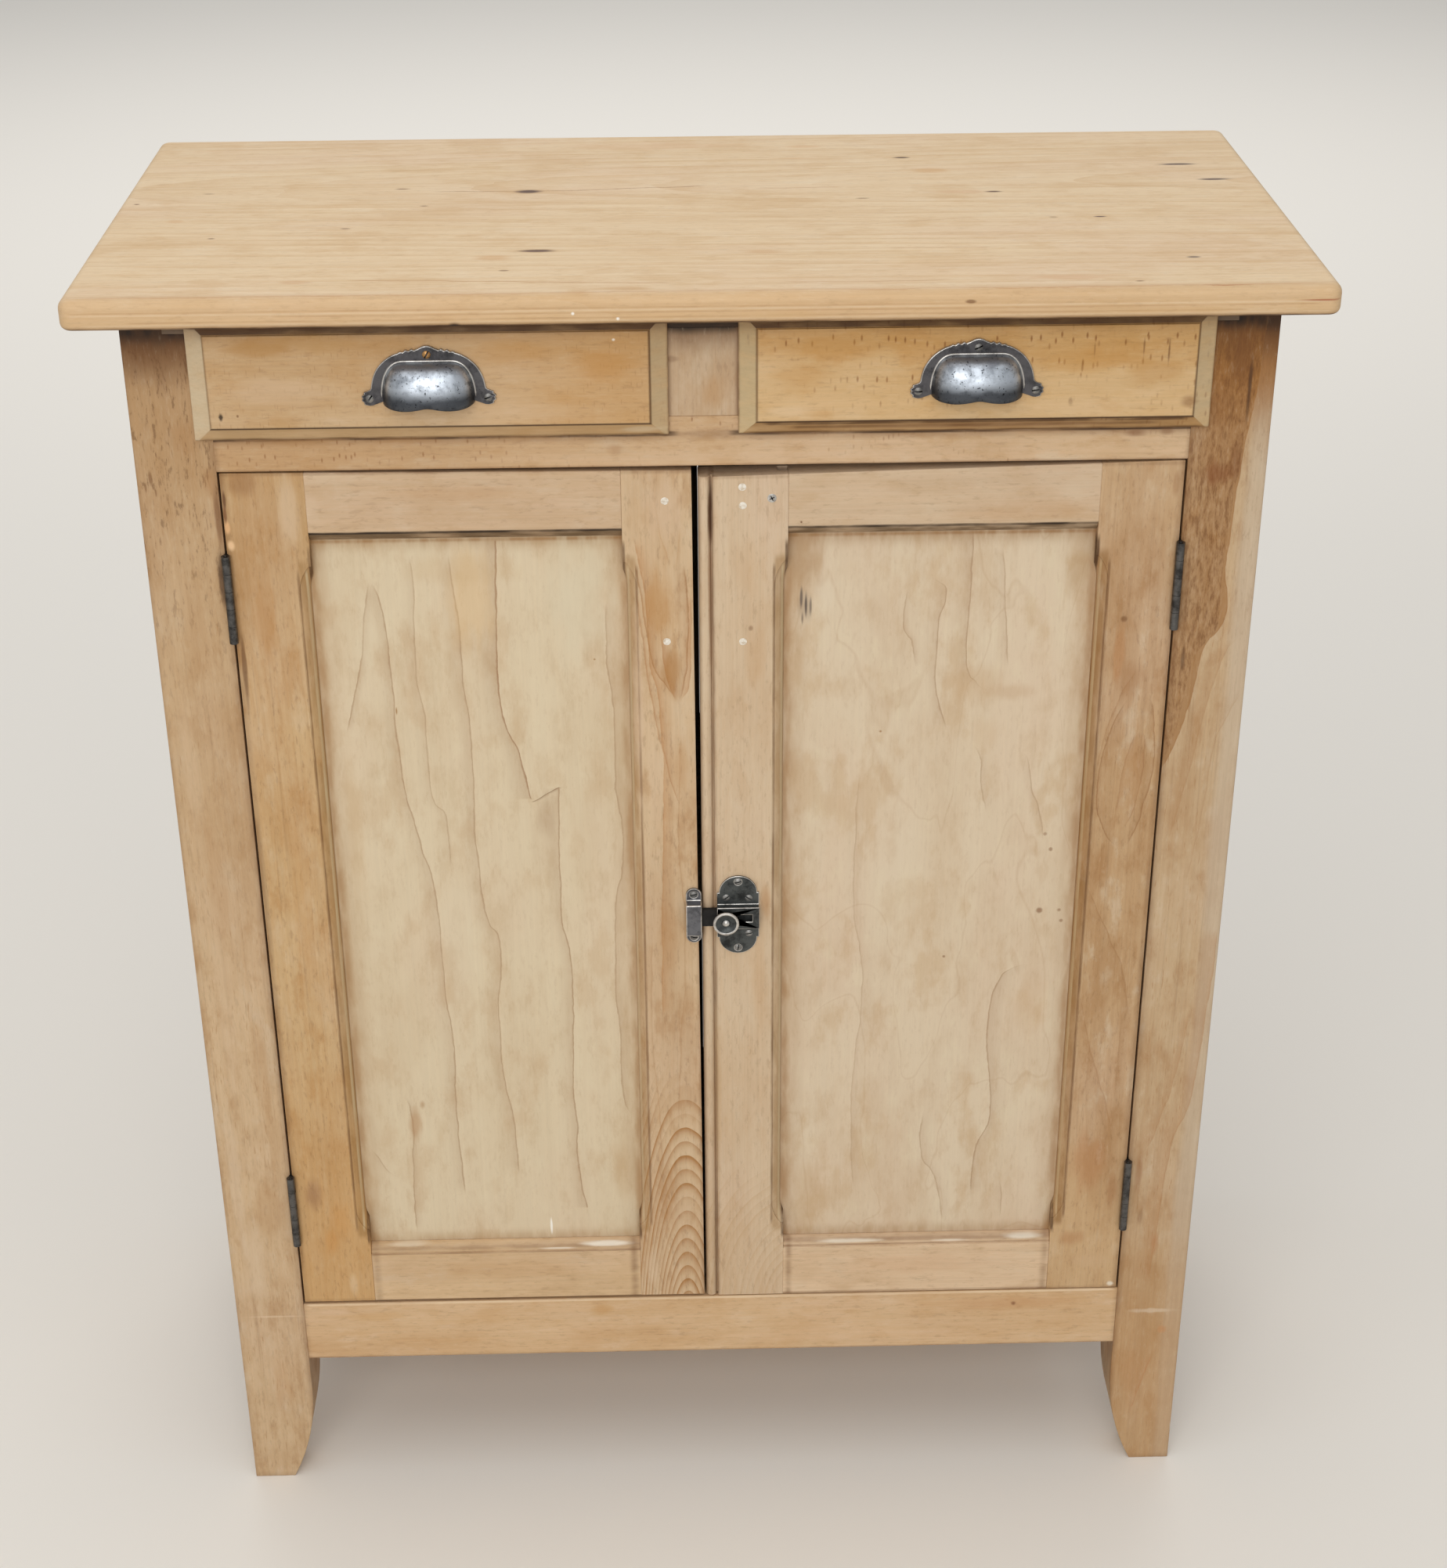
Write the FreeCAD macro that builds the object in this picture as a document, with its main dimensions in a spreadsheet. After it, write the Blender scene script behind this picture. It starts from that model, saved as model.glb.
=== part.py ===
import FreeCAD, Part
import math
import os
import re
import Sketcher

# Driving dimensions in millimetres, one name for each size. The front faces -Y and the floor is z = 0.
SIZES = {
    # Whole cupboard
    "case_width": 820,
    "total_height": 1098,
    "top_thickness": 22,
    "top_depth": 437,
    "front_overhang": 34,
    "back_overhang": 10,
    "side_overhang": 34,
    "top_corner_radius": 9,
    "top_edge_radius": 7,
    "top_lower_radius": 5,
    # Posts and their curved feet
    "post_width": 58,
    "post_depth": 55,
    "foot_width": 35,
    "foot_depth": 34,
    "foot_curve_height": 100,
    # Front rails
    "rail_thickness": 22,
    "bottom_rail_base": 135,
    "bottom_rail_height": 60,
    "mid_rail_height": 38,
    "drawer_opening_height": 66,
    "top_rail_thickness": 13,
    "top_rail_depth": 50,
    "divider_width": 72,
    "stub_tenon": 9,
    # Mortises and tenons of the case and the doors
    "tenon_length": 28,
    "tenon_thickness": 8,
    "tenon_shoulder": 7,
    "mortise_slack": 1.5,
    # Sides, back, floor and shelf
    "side_setback": 2,
    "side_top_rail_height": 70,
    "side_bottom_rail_height": 80,
    "side_panel_thickness": 10,
    "groove_depth": 8,
    "back_board_thickness": 10,
    "back_board_gap": 0.8,
    "back_rail_height": 70,
    "floor_thickness": 16,
    "shelf_rise": 372,
    "shelf_thickness": 18,
    "shelf_clearance": 0.5,
    "cleat_width": 20,
    "cleat_height": 24,
    "runner_width": 22,
    "runner_thickness": 20,
    "guide_height": 18,
    # Doors
    "door_thickness": 22,
    "hinge_gap": 1.6,
    "hinge_stile_width": 60.5,
    "left_meeting_stile_width": 54.5,
    "right_meeting_stile_width": 66,
    "door_top_rail_height": 58,
    "door_bottom_rail_height": 60,
    "panel_recess": 9,
    "panel_thickness": 8,
    "panel_slack": 1,
    "moulding_width": 10,
    "moulding_fillet": 1.5,
    "stop_distance": 16,
    "stop_run": 22,
    "stop_radius": 34,
    "meeting_offset": 4.6,
    "meeting_gap": 1.6,
    "left_meeting_taper": 3.2,
    "door_top_gap": 1,
    "left_door_drop": 2.5,
    "right_door_drop": 8,
    "left_bottom_gap": 2.6,
    "right_bottom_gap": 1,
    "bead_width": 9,
    "quirk_width": 1.4,
    # Hinges
    "hinge_length": 70,
    "hinge_top_inset": 64,
    "hinge_bottom_inset": 67,
    "knuckle_radius": 3.3,
    "knuckle_stand": 3.6,
    "knuckle_gap": 0.3,
    "leaf_thickness": 1.4,
    "leaf_depth": 20,
    "leaf_clearance": 0.3,
    "pin_radius": 1.4,
    "pin_clearance": 0.1,
    "pin_reveal": 1,
    # Drawers
    "lip_overlap_post": 12,
    "lip_overlap_divider": 11,
    "lip_overlap_mid_rail": 12,
    "lip_overlap_top_rail": 11,
    "lip_gap": 0.3,
    "lip_edge": 4,
    "bevel_rise": 4,
    "field_step": 1.5,
    "border_side": 13,
    "border_edge": 10,
    "core_thickness": 14,
    "drawer_clearance": 1,
    "drawer_play": 0.3,
    "drawer_back_clearance": 21,
    "drawer_side_thickness": 11,
    "drawer_side_drop": 5,
    "drawer_side_lap": 9,
    "drawer_bottom_thickness": 6,
    "drawer_bottom_lift": 7,
    "drawer_bottom_housing": 5,
    "drawer_back_thickness": 11,
    # Cup pulls
    "pull_drop": 46.5,
    "ear_spread": 42,
    "ear_radius": 5.4,
    "finial_radius": 6.5,
    "finial_height": 32,
    "flange_half_width": 41,
    "shoulder_base": 8,
    "shoulder_radius": 29,
    "crown_half_width": 22,
    "crown_base": 33,
    "crown_radius": 80,
    "flange_thickness": 2.2,
    "cup_half_width": 32.5,
    "cup_height": 30.7,
    "cup_drop": 4.2,
    "cup_depth": 20,
    "cup_top_depth": 3.4,
    "cup_wall": 1.8,
    "lobe_radius": 54,
    "lobe_spread": 20.5,
    # Slide latch on the right door and its keeper on the left door
    "latch_height": 580,
    "latch_inset": 11.6,
    "latch_width": 33.4,
    "latch_plate_height": 41,
    "latch_plate_thickness": 2,
    "latch_lobe_radius": 15,
    "latch_case_height": 19.5,
    "latch_case_depth": 7.6,
    "latch_wall": 1.6,
    "latch_slot_height": 6.4,
    "bolt_height": 15,
    "bolt_thickness": 3.6,
    "bolt_clearance": 0.3,
    "bolt_back_gap": 0.4,
    "bolt_tail": 5,
    "bolt_throw": 3.3,
    "bolt_draw": 18,
    "bolt_short": 0.4,
    "knob_inset": 6.8,
    "knob_radius": 10.3,
    "knob_stem_radius": 2.8,
    "knob_stand": 4.6,
    "knob_rim_depth": 5,
    "knob_rim_width": 2.6,
    "knob_dish": 2,
    "knob_dome_radius": 4.6,
    "knob_dome_top_radius": 2,
    "knob_dome_height": 2.6,
    "keeper_reach": 0.6,
    "keeper_width": 12.4,
    "keeper_height": 50,
    "keeper_bridge_height": 28,
    "keeper_depth": 10.5,
    "keeper_thickness": 2.2,
    # Slotted wood screws
    "screw_head_radius": 3,
    "screw_shank_radius": 1.5,
    "screw_length": 9,
    "screw_slot_width": 0.8,
    "screw_slot_depth": 0.7,
    "screw_edge_margin": 5.2,
    # Cutters run past the faces that they cut by this much
    "overrun": 2,
}
BACK_BOARD_COUNT = 6
KNUCKLE_COUNT = 5
HALF_TURN = 180
# The cup's section: straight bands outside and inside, and the superellipse's power
CUP_BANDS = 5
HOLLOW_BANDS = 3
CUP_POWER = 2.5

# Planes that several pieces share, written in the named sizes
FRONT = "(front_overhang - top_depth / 2)"
BACK = "(top_depth / 2 - back_overhang)"
POST_FACE = "(case_width / 2 - post_width)"
TOP_UNDERSIDE = "(total_height - top_thickness)"
BOTTOM_RAIL_TOP = "(bottom_rail_base + bottom_rail_height)"
TOP_RAIL_BASE = f"({TOP_UNDERSIDE} - top_rail_thickness)"
MID_RAIL_TOP = f"({TOP_RAIL_BASE} - drawer_opening_height)"
MID_RAIL_BASE = f"({MID_RAIL_TOP} - mid_rail_height)"
SIDE_FACE = "(case_width / 2 - side_setback - rail_thickness)"
BACK_RAIL_FACE = f"({BACK} - back_board_thickness - rail_thickness)"
SHELF_TOP = f"({BOTTOM_RAIL_TOP} + shelf_rise)"
RUNNER_BASE = f"({MID_RAIL_TOP} - runner_thickness)"
DIVIDER_FACE = "(divider_width / 2)"
DOOR_EDGE = f"({POST_FACE} - hinge_gap)"
HINGE_LINE = f"({POST_FACE} - hinge_gap / 2)"
HINGE_AXIS = f"({FRONT} - knuckle_stand)"
DOOR_TOP = f"({MID_RAIL_BASE} - door_top_gap)"

doc = FreeCAD.newDocument("jelly_cupboard")
sheet = doc.addObject("Spreadsheet::Sheet", "Sizes")
for row, (alias, size) in enumerate(SIZES.items(), start=1):
    sheet.set(f"A{row}", alias)
    sheet.set(f"B{row}", str(size))
    sheet.setAlias(f"B{row}", alias)
doc.recompute()

nodes = []
cutters = {}
ALONG_Y = FreeCAD.Rotation(FreeCAD.Vector(1, 0, 0), -90)


# Helpers for expressions, blocks, sketches and booleans

def ex(text):
    """Expression text with each size name pointed at its cell."""
    return re.sub("|".join(rf"\b{alias}\b" for alias in SIZES), lambda word: f"Sizes.{word[0]}", text)


def value(text):
    return sheet.evalExpression(ex(text))


def bind(thing, prop, text):
    thing.setExpression(prop, ex(text))


def place(thing, x, y, z):
    for axis, text in zip("xyz", (x, y, z)):
        bind(thing, f"Placement.Base.{axis}", text)


def sided(side, near, far):
    """Span from near to far of the middle plane, on the right (1) or the left (-1)."""
    return (near, far) if side > 0 else (f"-({far})", f"-({near})")


def block(name, x, y, z):
    """Plain board or cutter between two planes on each axis."""
    box = doc.addObject("Part::Box", name)
    for prop, (low, high) in zip(("Length", "Width", "Height"), (x, y, z)):
        bind(box, prop, f"({high}) - ({low})")
    place(box, x[0], y[0], z[0])
    return box


def rod(name, axis, radius, length, x, y, z):
    """Cylinder from the point x, y, z along +Y or +Z."""
    cylinder = doc.addObject("Part::Cylinder", name)
    if axis == "y":
        cylinder.Placement = FreeCAD.Placement(FreeCAD.Vector(), ALONG_Y)
    bind(cylinder, "Radius", radius)
    bind(cylinder, "Height", length)
    place(cylinder, x, y, z)
    return cylinder


def joined(name, pieces):
    fusion = doc.addObject("Part::MultiFuse", name)
    fusion.Shapes = pieces
    fusion.Refine = True
    return fusion


def carved(name, base, tools):
    cut = doc.addObject("Part::Cut", name)
    cut.Base = base
    cut.Tool = tools[0] if len(tools) == 1 else joined(f"{name}_cutters", tools)
    cut.Refine = True
    return cut


def shared(name, base, tool):
    common = doc.addObject("Part::Common", name)
    common.Base = base
    common.Tool = tool
    return common


def grouped(name, pieces):
    group = doc.addObject("Part::Compound", name)
    group.Links = pieces
    return group


def finished(node, thing):
    thing.Label = node
    nodes.append(thing)
    return thing


def cutter(host, tool):
    """Keep a tool that cuts the named piece when that piece is finished."""
    cutters.setdefault(host, []).append(tool)


def finish_cut(node, base):
    tools = cutters.pop(node, [])
    finished(node, carved(node, base, tools) if tools else base)


def arc(start, end, radius, turn):
    """Arc from start to end whose centre is to the left (1) or the right (-1) of the way."""
    way = end - start
    half = way.Length / 2
    left = FreeCAD.Vector(-way.y, way.x, 0).normalize()
    centre = (start + end) / 2 + left * turn * math.sqrt(max(radius ** 2 - half ** 2, 0))
    first, last = (start, end) if turn > 0 else (end, start)
    angles = [math.atan2(point.y - centre.y, point.x - centre.x) for point in (first, last)]
    circle = Part.Circle(centre, FreeCAD.Vector(0, 0, 1), radius)
    return Part.ArcOfCircle(circle, angles[0], angles[1])


def sketch_on(body, role, name, offset):
    plane = next(item for item in body.Origin.OriginFeatures if item.Role == role)
    sketch = body.newObject("Sketcher::SketchObject", name)
    sketch.AttachmentSupport = (plane, [""])
    sketch.MapMode = "FlatFace"
    bind(sketch, "AttachmentOffset.Base.z", offset)
    return sketch


def outline(body, role, name, corners, offset="0", closed=True):
    """Sketch through corners (x, y), where (x, y, radius, turn) starts an arc to the next corner."""
    sketch = sketch_on(body, role, name, offset)
    points = [FreeCAD.Vector(value(corner[0]), value(corner[1]), 0) for corner in corners]
    sides = len(corners) if closed else len(corners) - 1
    ends = []
    for index in range(sides):
        corner = corners[index]
        start = points[index]
        end = points[(index + 1) % len(points)]
        if len(corner) > 2:
            sketch.addGeometry(arc(start, end, value(corner[2]), corner[3]))
            ends.append((1, 2) if corner[3] > 0 else (2, 1))
        else:
            sketch.addGeometry(Part.LineSegment(start, end))
            ends.append((1, 2))
    for index in range(sides if closed else sides - 1):
        after = (index + 1) % sides
        meeting = Sketcher.Constraint("Coincident", index, ends[index][1], after, ends[after][0])
        sketch.addConstraint(meeting)
    for index, corner in enumerate(corners):
        side, end = (index, ends[index][0]) if index < sides else (sides - 1, ends[sides - 1][1])
        for kind, text in zip(("DistanceX", "DistanceY"), corner):
            number = sketch.addConstraint(Sketcher.Constraint(kind, -1, 1, side, end, value(text)))
            bind(sketch, f"Constraints[{number}]", text)
        if len(corner) > 2:
            number = sketch.addConstraint(Sketcher.Constraint("Radius", side, value(corner[2])))
            bind(sketch, f"Constraints[{number}]", corner[2])
    return sketch


def rectangle(body, role, name, x, y, offset="0"):
    return outline(body, role, name, [(x[0], y[0]), (x[1], y[0]), (x[1], y[1]), (x[0], y[1])], offset)


def pad(body, name, sketch, length, backwards=False):
    feature = body.newObject("PartDesign::Pad", name)
    feature.Profile = sketch
    feature.Reversed = backwards
    bind(feature, "Length", length)
    return feature


def rounded(body, base, name, radius, chosen):
    """Fillet of the base's edges that the chosen test picks."""
    doc.recompute()
    feature = body.newObject("PartDesign::Fillet", name)
    names = [f"Edge{number}" for number, edge in enumerate(base.Shape.Edges, start=1) if chosen(edge)]
    feature.Base = (base, names)
    bind(feature, "Radius", radius)
    return feature


def screw_set(node, centres, face, plate, hosts, slot_turn):
    """Slotted screws driven along +Y, their countersunk heads as deep as the plate that they hold."""
    screws = []
    for number, (x, z) in enumerate(centres):
        name = f"{node}_{number}"
        head = doc.addObject("Part::Cone", f"{name}_head")
        head.Placement = FreeCAD.Placement(FreeCAD.Vector(), ALONG_Y)
        bind(head, "Radius1", "screw_head_radius")
        bind(head, "Radius2", "screw_shank_radius")
        bind(head, "Height", plate)
        place(head, x, face, z)
        shank = rod(f"{name}_shank", "y", "screw_shank_radius", "screw_length", x, f"{face} + {plate}", z)
        whole = joined(f"{name}_whole", [head, shank])
        for host in hosts:
            cutter(host, whole)
        slot = block(f"{name}_slot", ("-screw_head_radius", "screw_head_radius"),
                     ("-overrun", "screw_slot_depth"), ("-screw_slot_width / 2", "screw_slot_width / 2"))
        turned = grouped(f"{name}_turned_slot", [slot])
        turn = FreeCAD.Rotation(FreeCAD.Vector(0, 1, 0), slot_turn * (number + 1))
        turned.Placement = FreeCAD.Placement(FreeCAD.Vector(), turn)
        place(turned, x, face, z)
        screws.append(carved(name, whole, [turned]))
    finished(node, grouped(node, screws))


# Top board with rounded corners and edges

def top_board():
    body = doc.addObject("PartDesign::Body", "top_board")
    half_width = "(case_width / 2 + side_overhang)"
    across = (f"-{half_width}", half_width)
    plan = rectangle(body, "XY_Plane", "top_plan", across, ("-top_depth / 2", "top_depth / 2"))
    slab = pad(body, "top_slab", plan, "top_thickness")
    corners = rounded(body, slab, "top_corners", "top_corner_radius",
                      lambda edge: edge.BoundBox.ZLength > edge.Length / 2)
    tall = value("top_thickness") / 2
    upper = rounded(body, corners, "top_upper_edges", "top_edge_radius",
                    lambda edge: edge.BoundBox.ZMin > tall)
    rounded(body, upper, "top_lower_edges", "top_lower_radius",
            lambda edge: edge.BoundBox.ZMax < tall / value("top_thickness"))
    place(body, "0", "0", TOP_UNDERSIDE)
    finished("top_board", body)


# Posts with feet that curve in on both inner faces

def curve_radius(inset):
    return f"((foot_curve_height ^ 2 + {inset} ^ 2) / (2 * {inset}))"


def post_blank(node, side, end):
    """Post whose outer corner is at its body's origin; end is 1 at the front and -1 at the back."""
    body = doc.addObject("PartDesign::Body", f"{node}_blank")
    inward = -side
    face = outline(body, "XZ_Plane", f"{node}_face", [
        ("0", "0"),
        (f"{inward} * foot_width", "0", curve_radius("(post_width - foot_width)"), inward),
        (f"{inward} * post_width", "foot_curve_height"),
        (f"{inward} * post_width", TOP_UNDERSIDE),
        ("0", TOP_UNDERSIDE)])
    pad(body, f"{node}_pad", face, "post_depth", backwards=end > 0)
    flank = outline(body, "YZ_Plane", f"{node}_flank", [
        (f"{end} * foot_depth", "-overrun"),
        (f"{end} * foot_depth", "0", curve_radius("(post_depth - foot_depth)"), end),
        (f"{end} * post_depth", "foot_curve_height"),
        (f"{end} * (post_depth + overrun)", "foot_curve_height"),
        (f"{end} * (post_depth + overrun)", "-overrun")])
    pocket = body.newObject("PartDesign::Pocket", f"{node}_scoop")
    pocket.Profile = flank
    pocket.Reversed = side < 0
    bind(pocket, "Length", "post_width + overrun")
    place(body, f"{side} * case_width / 2", FRONT if end > 0 else BACK, "0")
    return body


# Case rails with a tenon at each end

def rail(node, run, spans, hosts):
    """Board along X (run 0) or Y (run 1) between two posts, which get its mortises."""
    cheek = 1 - run
    middle = f"(({spans[cheek][0]}) + ({spans[cheek][1]})) / 2"
    pieces = [block(f"{node}_board", *spans)]
    for direction, host in zip((-1, 1), hosts):
        face = spans[run][0] if direction < 0 else spans[run][1]
        for name, reach in (("tenon", "tenon_length"), ("mortise", "tenon_length + mortise_slack")):
            shape = [None, None, (f"{spans[2][0]} + tenon_shoulder", f"{spans[2][1]} - tenon_shoulder")]
            shape[cheek] = (f"{middle} - tenon_thickness / 2", f"{middle} + tenon_thickness / 2")
            far = f"{face} + {direction} * ({reach})"
            shape[run] = (far, face) if direction < 0 else (face, far)
            solid = block(f"{node}_{host}_{name}", *shape)
            if name == "tenon":
                pieces.append(solid)
            else:
                cutter(host, solid)
    finish_cut(node, joined(f"{node}_whole", pieces))


def case_frame():
    across = (f"-{POST_FACE}", POST_FACE)
    front_band = (FRONT, f"{FRONT} + rail_thickness")
    back_band = (BACK_RAIL_FACE, f"{BACK_RAIL_FACE} + rail_thickness")
    front_posts = ("front_left_post", "front_right_post")
    back_posts = ("back_left_post", "back_right_post")
    drawer_divider()
    rail("bottom_rail", 0, (across, front_band, ("bottom_rail_base", BOTTOM_RAIL_TOP)), front_posts)
    rail("mid_rail", 0, (across, front_band, (MID_RAIL_BASE, MID_RAIL_TOP)), front_posts)
    back_levels = {"back_top_rail": (f"{TOP_UNDERSIDE} - back_rail_height", TOP_UNDERSIDE),
                   "back_mid_rail": (MID_RAIL_BASE, MID_RAIL_TOP),
                   "back_bottom_rail": ("bottom_rail_base", BOTTOM_RAIL_TOP)}
    for node, level in back_levels.items():
        rail(node, 0, (across, back_band, level), back_posts)
    along = (f"{FRONT} + post_depth", f"{BACK} - post_depth")
    side_levels = {"side_top_rail": (f"{TOP_UNDERSIDE} - side_top_rail_height", TOP_UNDERSIDE),
                   "side_bottom_rail": ("bottom_rail_base", "bottom_rail_base + side_bottom_rail_height")}
    for side, word in ((-1, "left"), (1, "right")):
        band = sided(side, SIDE_FACE, f"{SIDE_FACE} + rail_thickness")
        for name, level in side_levels.items():
            rail(f"{word}_{name}", 1, (band, along, level), (f"front_{word}_post", f"back_{word}_post"))


def drawer_divider():
    """Upright between the drawers, stub-tenoned into the rails below and above it."""
    depth = (FRONT, f"{FRONT} + rail_thickness")
    across = (f"-{DIVIDER_FACE}", DIVIDER_FACE)
    upright = block("drawer_divider_board", across, depth, (MID_RAIL_TOP, TOP_RAIL_BASE))
    cheek = f"{FRONT} + rail_thickness / 2"
    slim = (f"{cheek} - tenon_thickness / 2", f"{cheek} + tenon_thickness / 2")
    narrow = (f"-{DIVIDER_FACE} + tenon_shoulder", f"{DIVIDER_FACE} - tenon_shoulder")
    lower = block("lower_stub", narrow, slim, (f"{MID_RAIL_TOP} - stub_tenon", MID_RAIL_TOP))
    upper = block("upper_stub", narrow, slim, (TOP_RAIL_BASE, f"{TOP_RAIL_BASE} + stub_tenon"))
    cutter("mid_rail", lower)
    cutter("top_front_rail", upper)
    finished("drawer_divider", joined("drawer_divider", [upright, lower, upper]))
    reach = f"({POST_FACE} + tenon_length)"
    flat = block("top_front_rail_board", (f"-{reach}", reach), (FRONT, f"{FRONT} + top_rail_depth"),
                 (TOP_RAIL_BASE, TOP_UNDERSIDE))
    for word in ("left", "right"):
        cutter(f"front_{word}_post", flat)
    finish_cut("top_front_rail", flat)


def posts():
    for side, word in ((-1, "left"), (1, "right")):
        for end, place_word in ((1, "front"), (-1, "back")):
            node = f"{place_word}_{word}_post"
            finish_cut(node, post_blank(node, side, end))


# Side panels, floor, back boards, shelf and drawer runners

def side_panels():
    middle = f"({SIDE_FACE} + rail_thickness / 2)"
    along = (f"{FRONT} + post_depth - groove_depth", f"{BACK} - post_depth + groove_depth")
    level = ("bottom_rail_base + side_bottom_rail_height - groove_depth",
             f"{TOP_UNDERSIDE} - side_top_rail_height + groove_depth")
    for side, word in ((-1, "left"), (1, "right")):
        band = sided(side, f"{middle} - side_panel_thickness / 2", f"{middle} + side_panel_thickness / 2")
        panel = finished(f"{word}_side_panel", block(f"{word}_side_panel", band, along, level))
        for host in (f"front_{word}_post", f"back_{word}_post"):
            cutter(host, panel)
        for host in (f"{word}_side_top_rail", f"{word}_side_bottom_rail"):
            cutter(host, panel)


def cupboard_floor():
    """Floor housed in the four bottom rails and notched round the posts."""
    reach = f"({SIDE_FACE} + groove_depth)"
    depth = (f"{FRONT} + rail_thickness - groove_depth", f"{BACK_RAIL_FACE} + groove_depth")
    level = (f"{BOTTOM_RAIL_TOP} - floor_thickness", BOTTOM_RAIL_TOP)
    sheet_board = block("cupboard_floor_board", (f"-{reach}", reach), depth, level)
    notches = []
    for side in (-1, 1):
        band = sided(side, POST_FACE, "case_width / 2")
        for number, span in enumerate(((FRONT, f"{FRONT} + post_depth"), (f"{BACK} - post_depth", BACK))):
            notches.append(block(f"floor_notch_{side + 1}_{number}", band, span, level))
    floor = finished("cupboard_floor", carved("cupboard_floor", sheet_board, notches))
    for host in ("bottom_rail", "back_bottom_rail", "left_side_bottom_rail", "right_side_bottom_rail"):
        cutter(host, floor)


def back_boards():
    width = f"((2 * {POST_FACE} - {BACK_BOARD_COUNT - 1} * back_board_gap) / {BACK_BOARD_COUNT})"
    depth = (f"{BACK} - back_board_thickness", BACK)
    level = ("bottom_rail_base", TOP_UNDERSIDE)
    boards = []
    for number in range(BACK_BOARD_COUNT):
        start = f"-{POST_FACE} + {number} * ({width} + back_board_gap)"
        boards.append(block(f"back_board_{number}", (start, f"{start} + {width}"), depth, level))
    finished("back_boards", grouped("back_boards", boards))


def shelf():
    front = f"{FRONT} + door_thickness + shelf_clearance"
    back = f"{BACK} - back_board_thickness"
    base = f"({SHELF_TOP} - shelf_thickness)"
    finished("shelf", block("shelf", (f"-{POST_FACE}", POST_FACE), (front, back), (base, SHELF_TOP)))
    cleats = []
    for side, word in ((-1, "left"), (1, "right")):
        cleats.append(block(f"{word}_cleat", sided(side, f"{POST_FACE} - cleat_width", POST_FACE),
                            (f"{FRONT} + post_depth / 2", back), (f"{base} - cleat_height", base)))
    finished("shelf_cleats", grouped("shelf_cleats", cleats))


def drawer_runners():
    length = (f"{FRONT} + rail_thickness", BACK_RAIL_FACE)
    level = (RUNNER_BASE, MID_RAIL_TOP)
    guide_level = (RUNNER_BASE, f"{MID_RAIL_TOP} + guide_height")
    between_posts = (f"{FRONT} + post_depth", f"{BACK} - post_depth")
    runners = []
    for side, word in ((-1, "left"), (1, "right")):
        name = f"{word}_drawer_runner"
        band = sided(side, f"{POST_FACE} - runner_width", POST_FACE)
        track = block(f"{name}_track", band, length, level)
        guide = block(f"{name}_guide", sided(side, POST_FACE, SIDE_FACE), between_posts, guide_level)
        runners.append(joined(name, [track, guide]))
    finished("side_drawer_runners", grouped("side_drawer_runners", runners))
    wide = f"({DIVIDER_FACE} + runner_width)"
    track = block("centre_runner_track", (f"-{wide}", wide), length, level)
    guide = block("centre_runner_guide", (f"-{DIVIDER_FACE}", DIVIDER_FACE), length, guide_level)
    finished("centre_drawer_runner", joined("centre_drawer_runner", [track, guide]))


# Framed doors: stiles with stopped mouldings, moulded rails and flat panels

GROOVE_BACK = "(panel_recess + panel_thickness)"


def door_data(side):
    """Edges and levels of one door, as distances from the middle plane on its own side."""
    word = "left" if side < 0 else "right"
    return {"word": word,
            "meeting": "(meeting_offset + meeting_gap)" if side < 0 else "-meeting_offset",
            "meeting_width": f"{word}_meeting_stile_width",
            "base": f"({BOTTOM_RAIL_TOP} + {word}_bottom_gap)",
            "drop": f"{word}_door_drop"}


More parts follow.
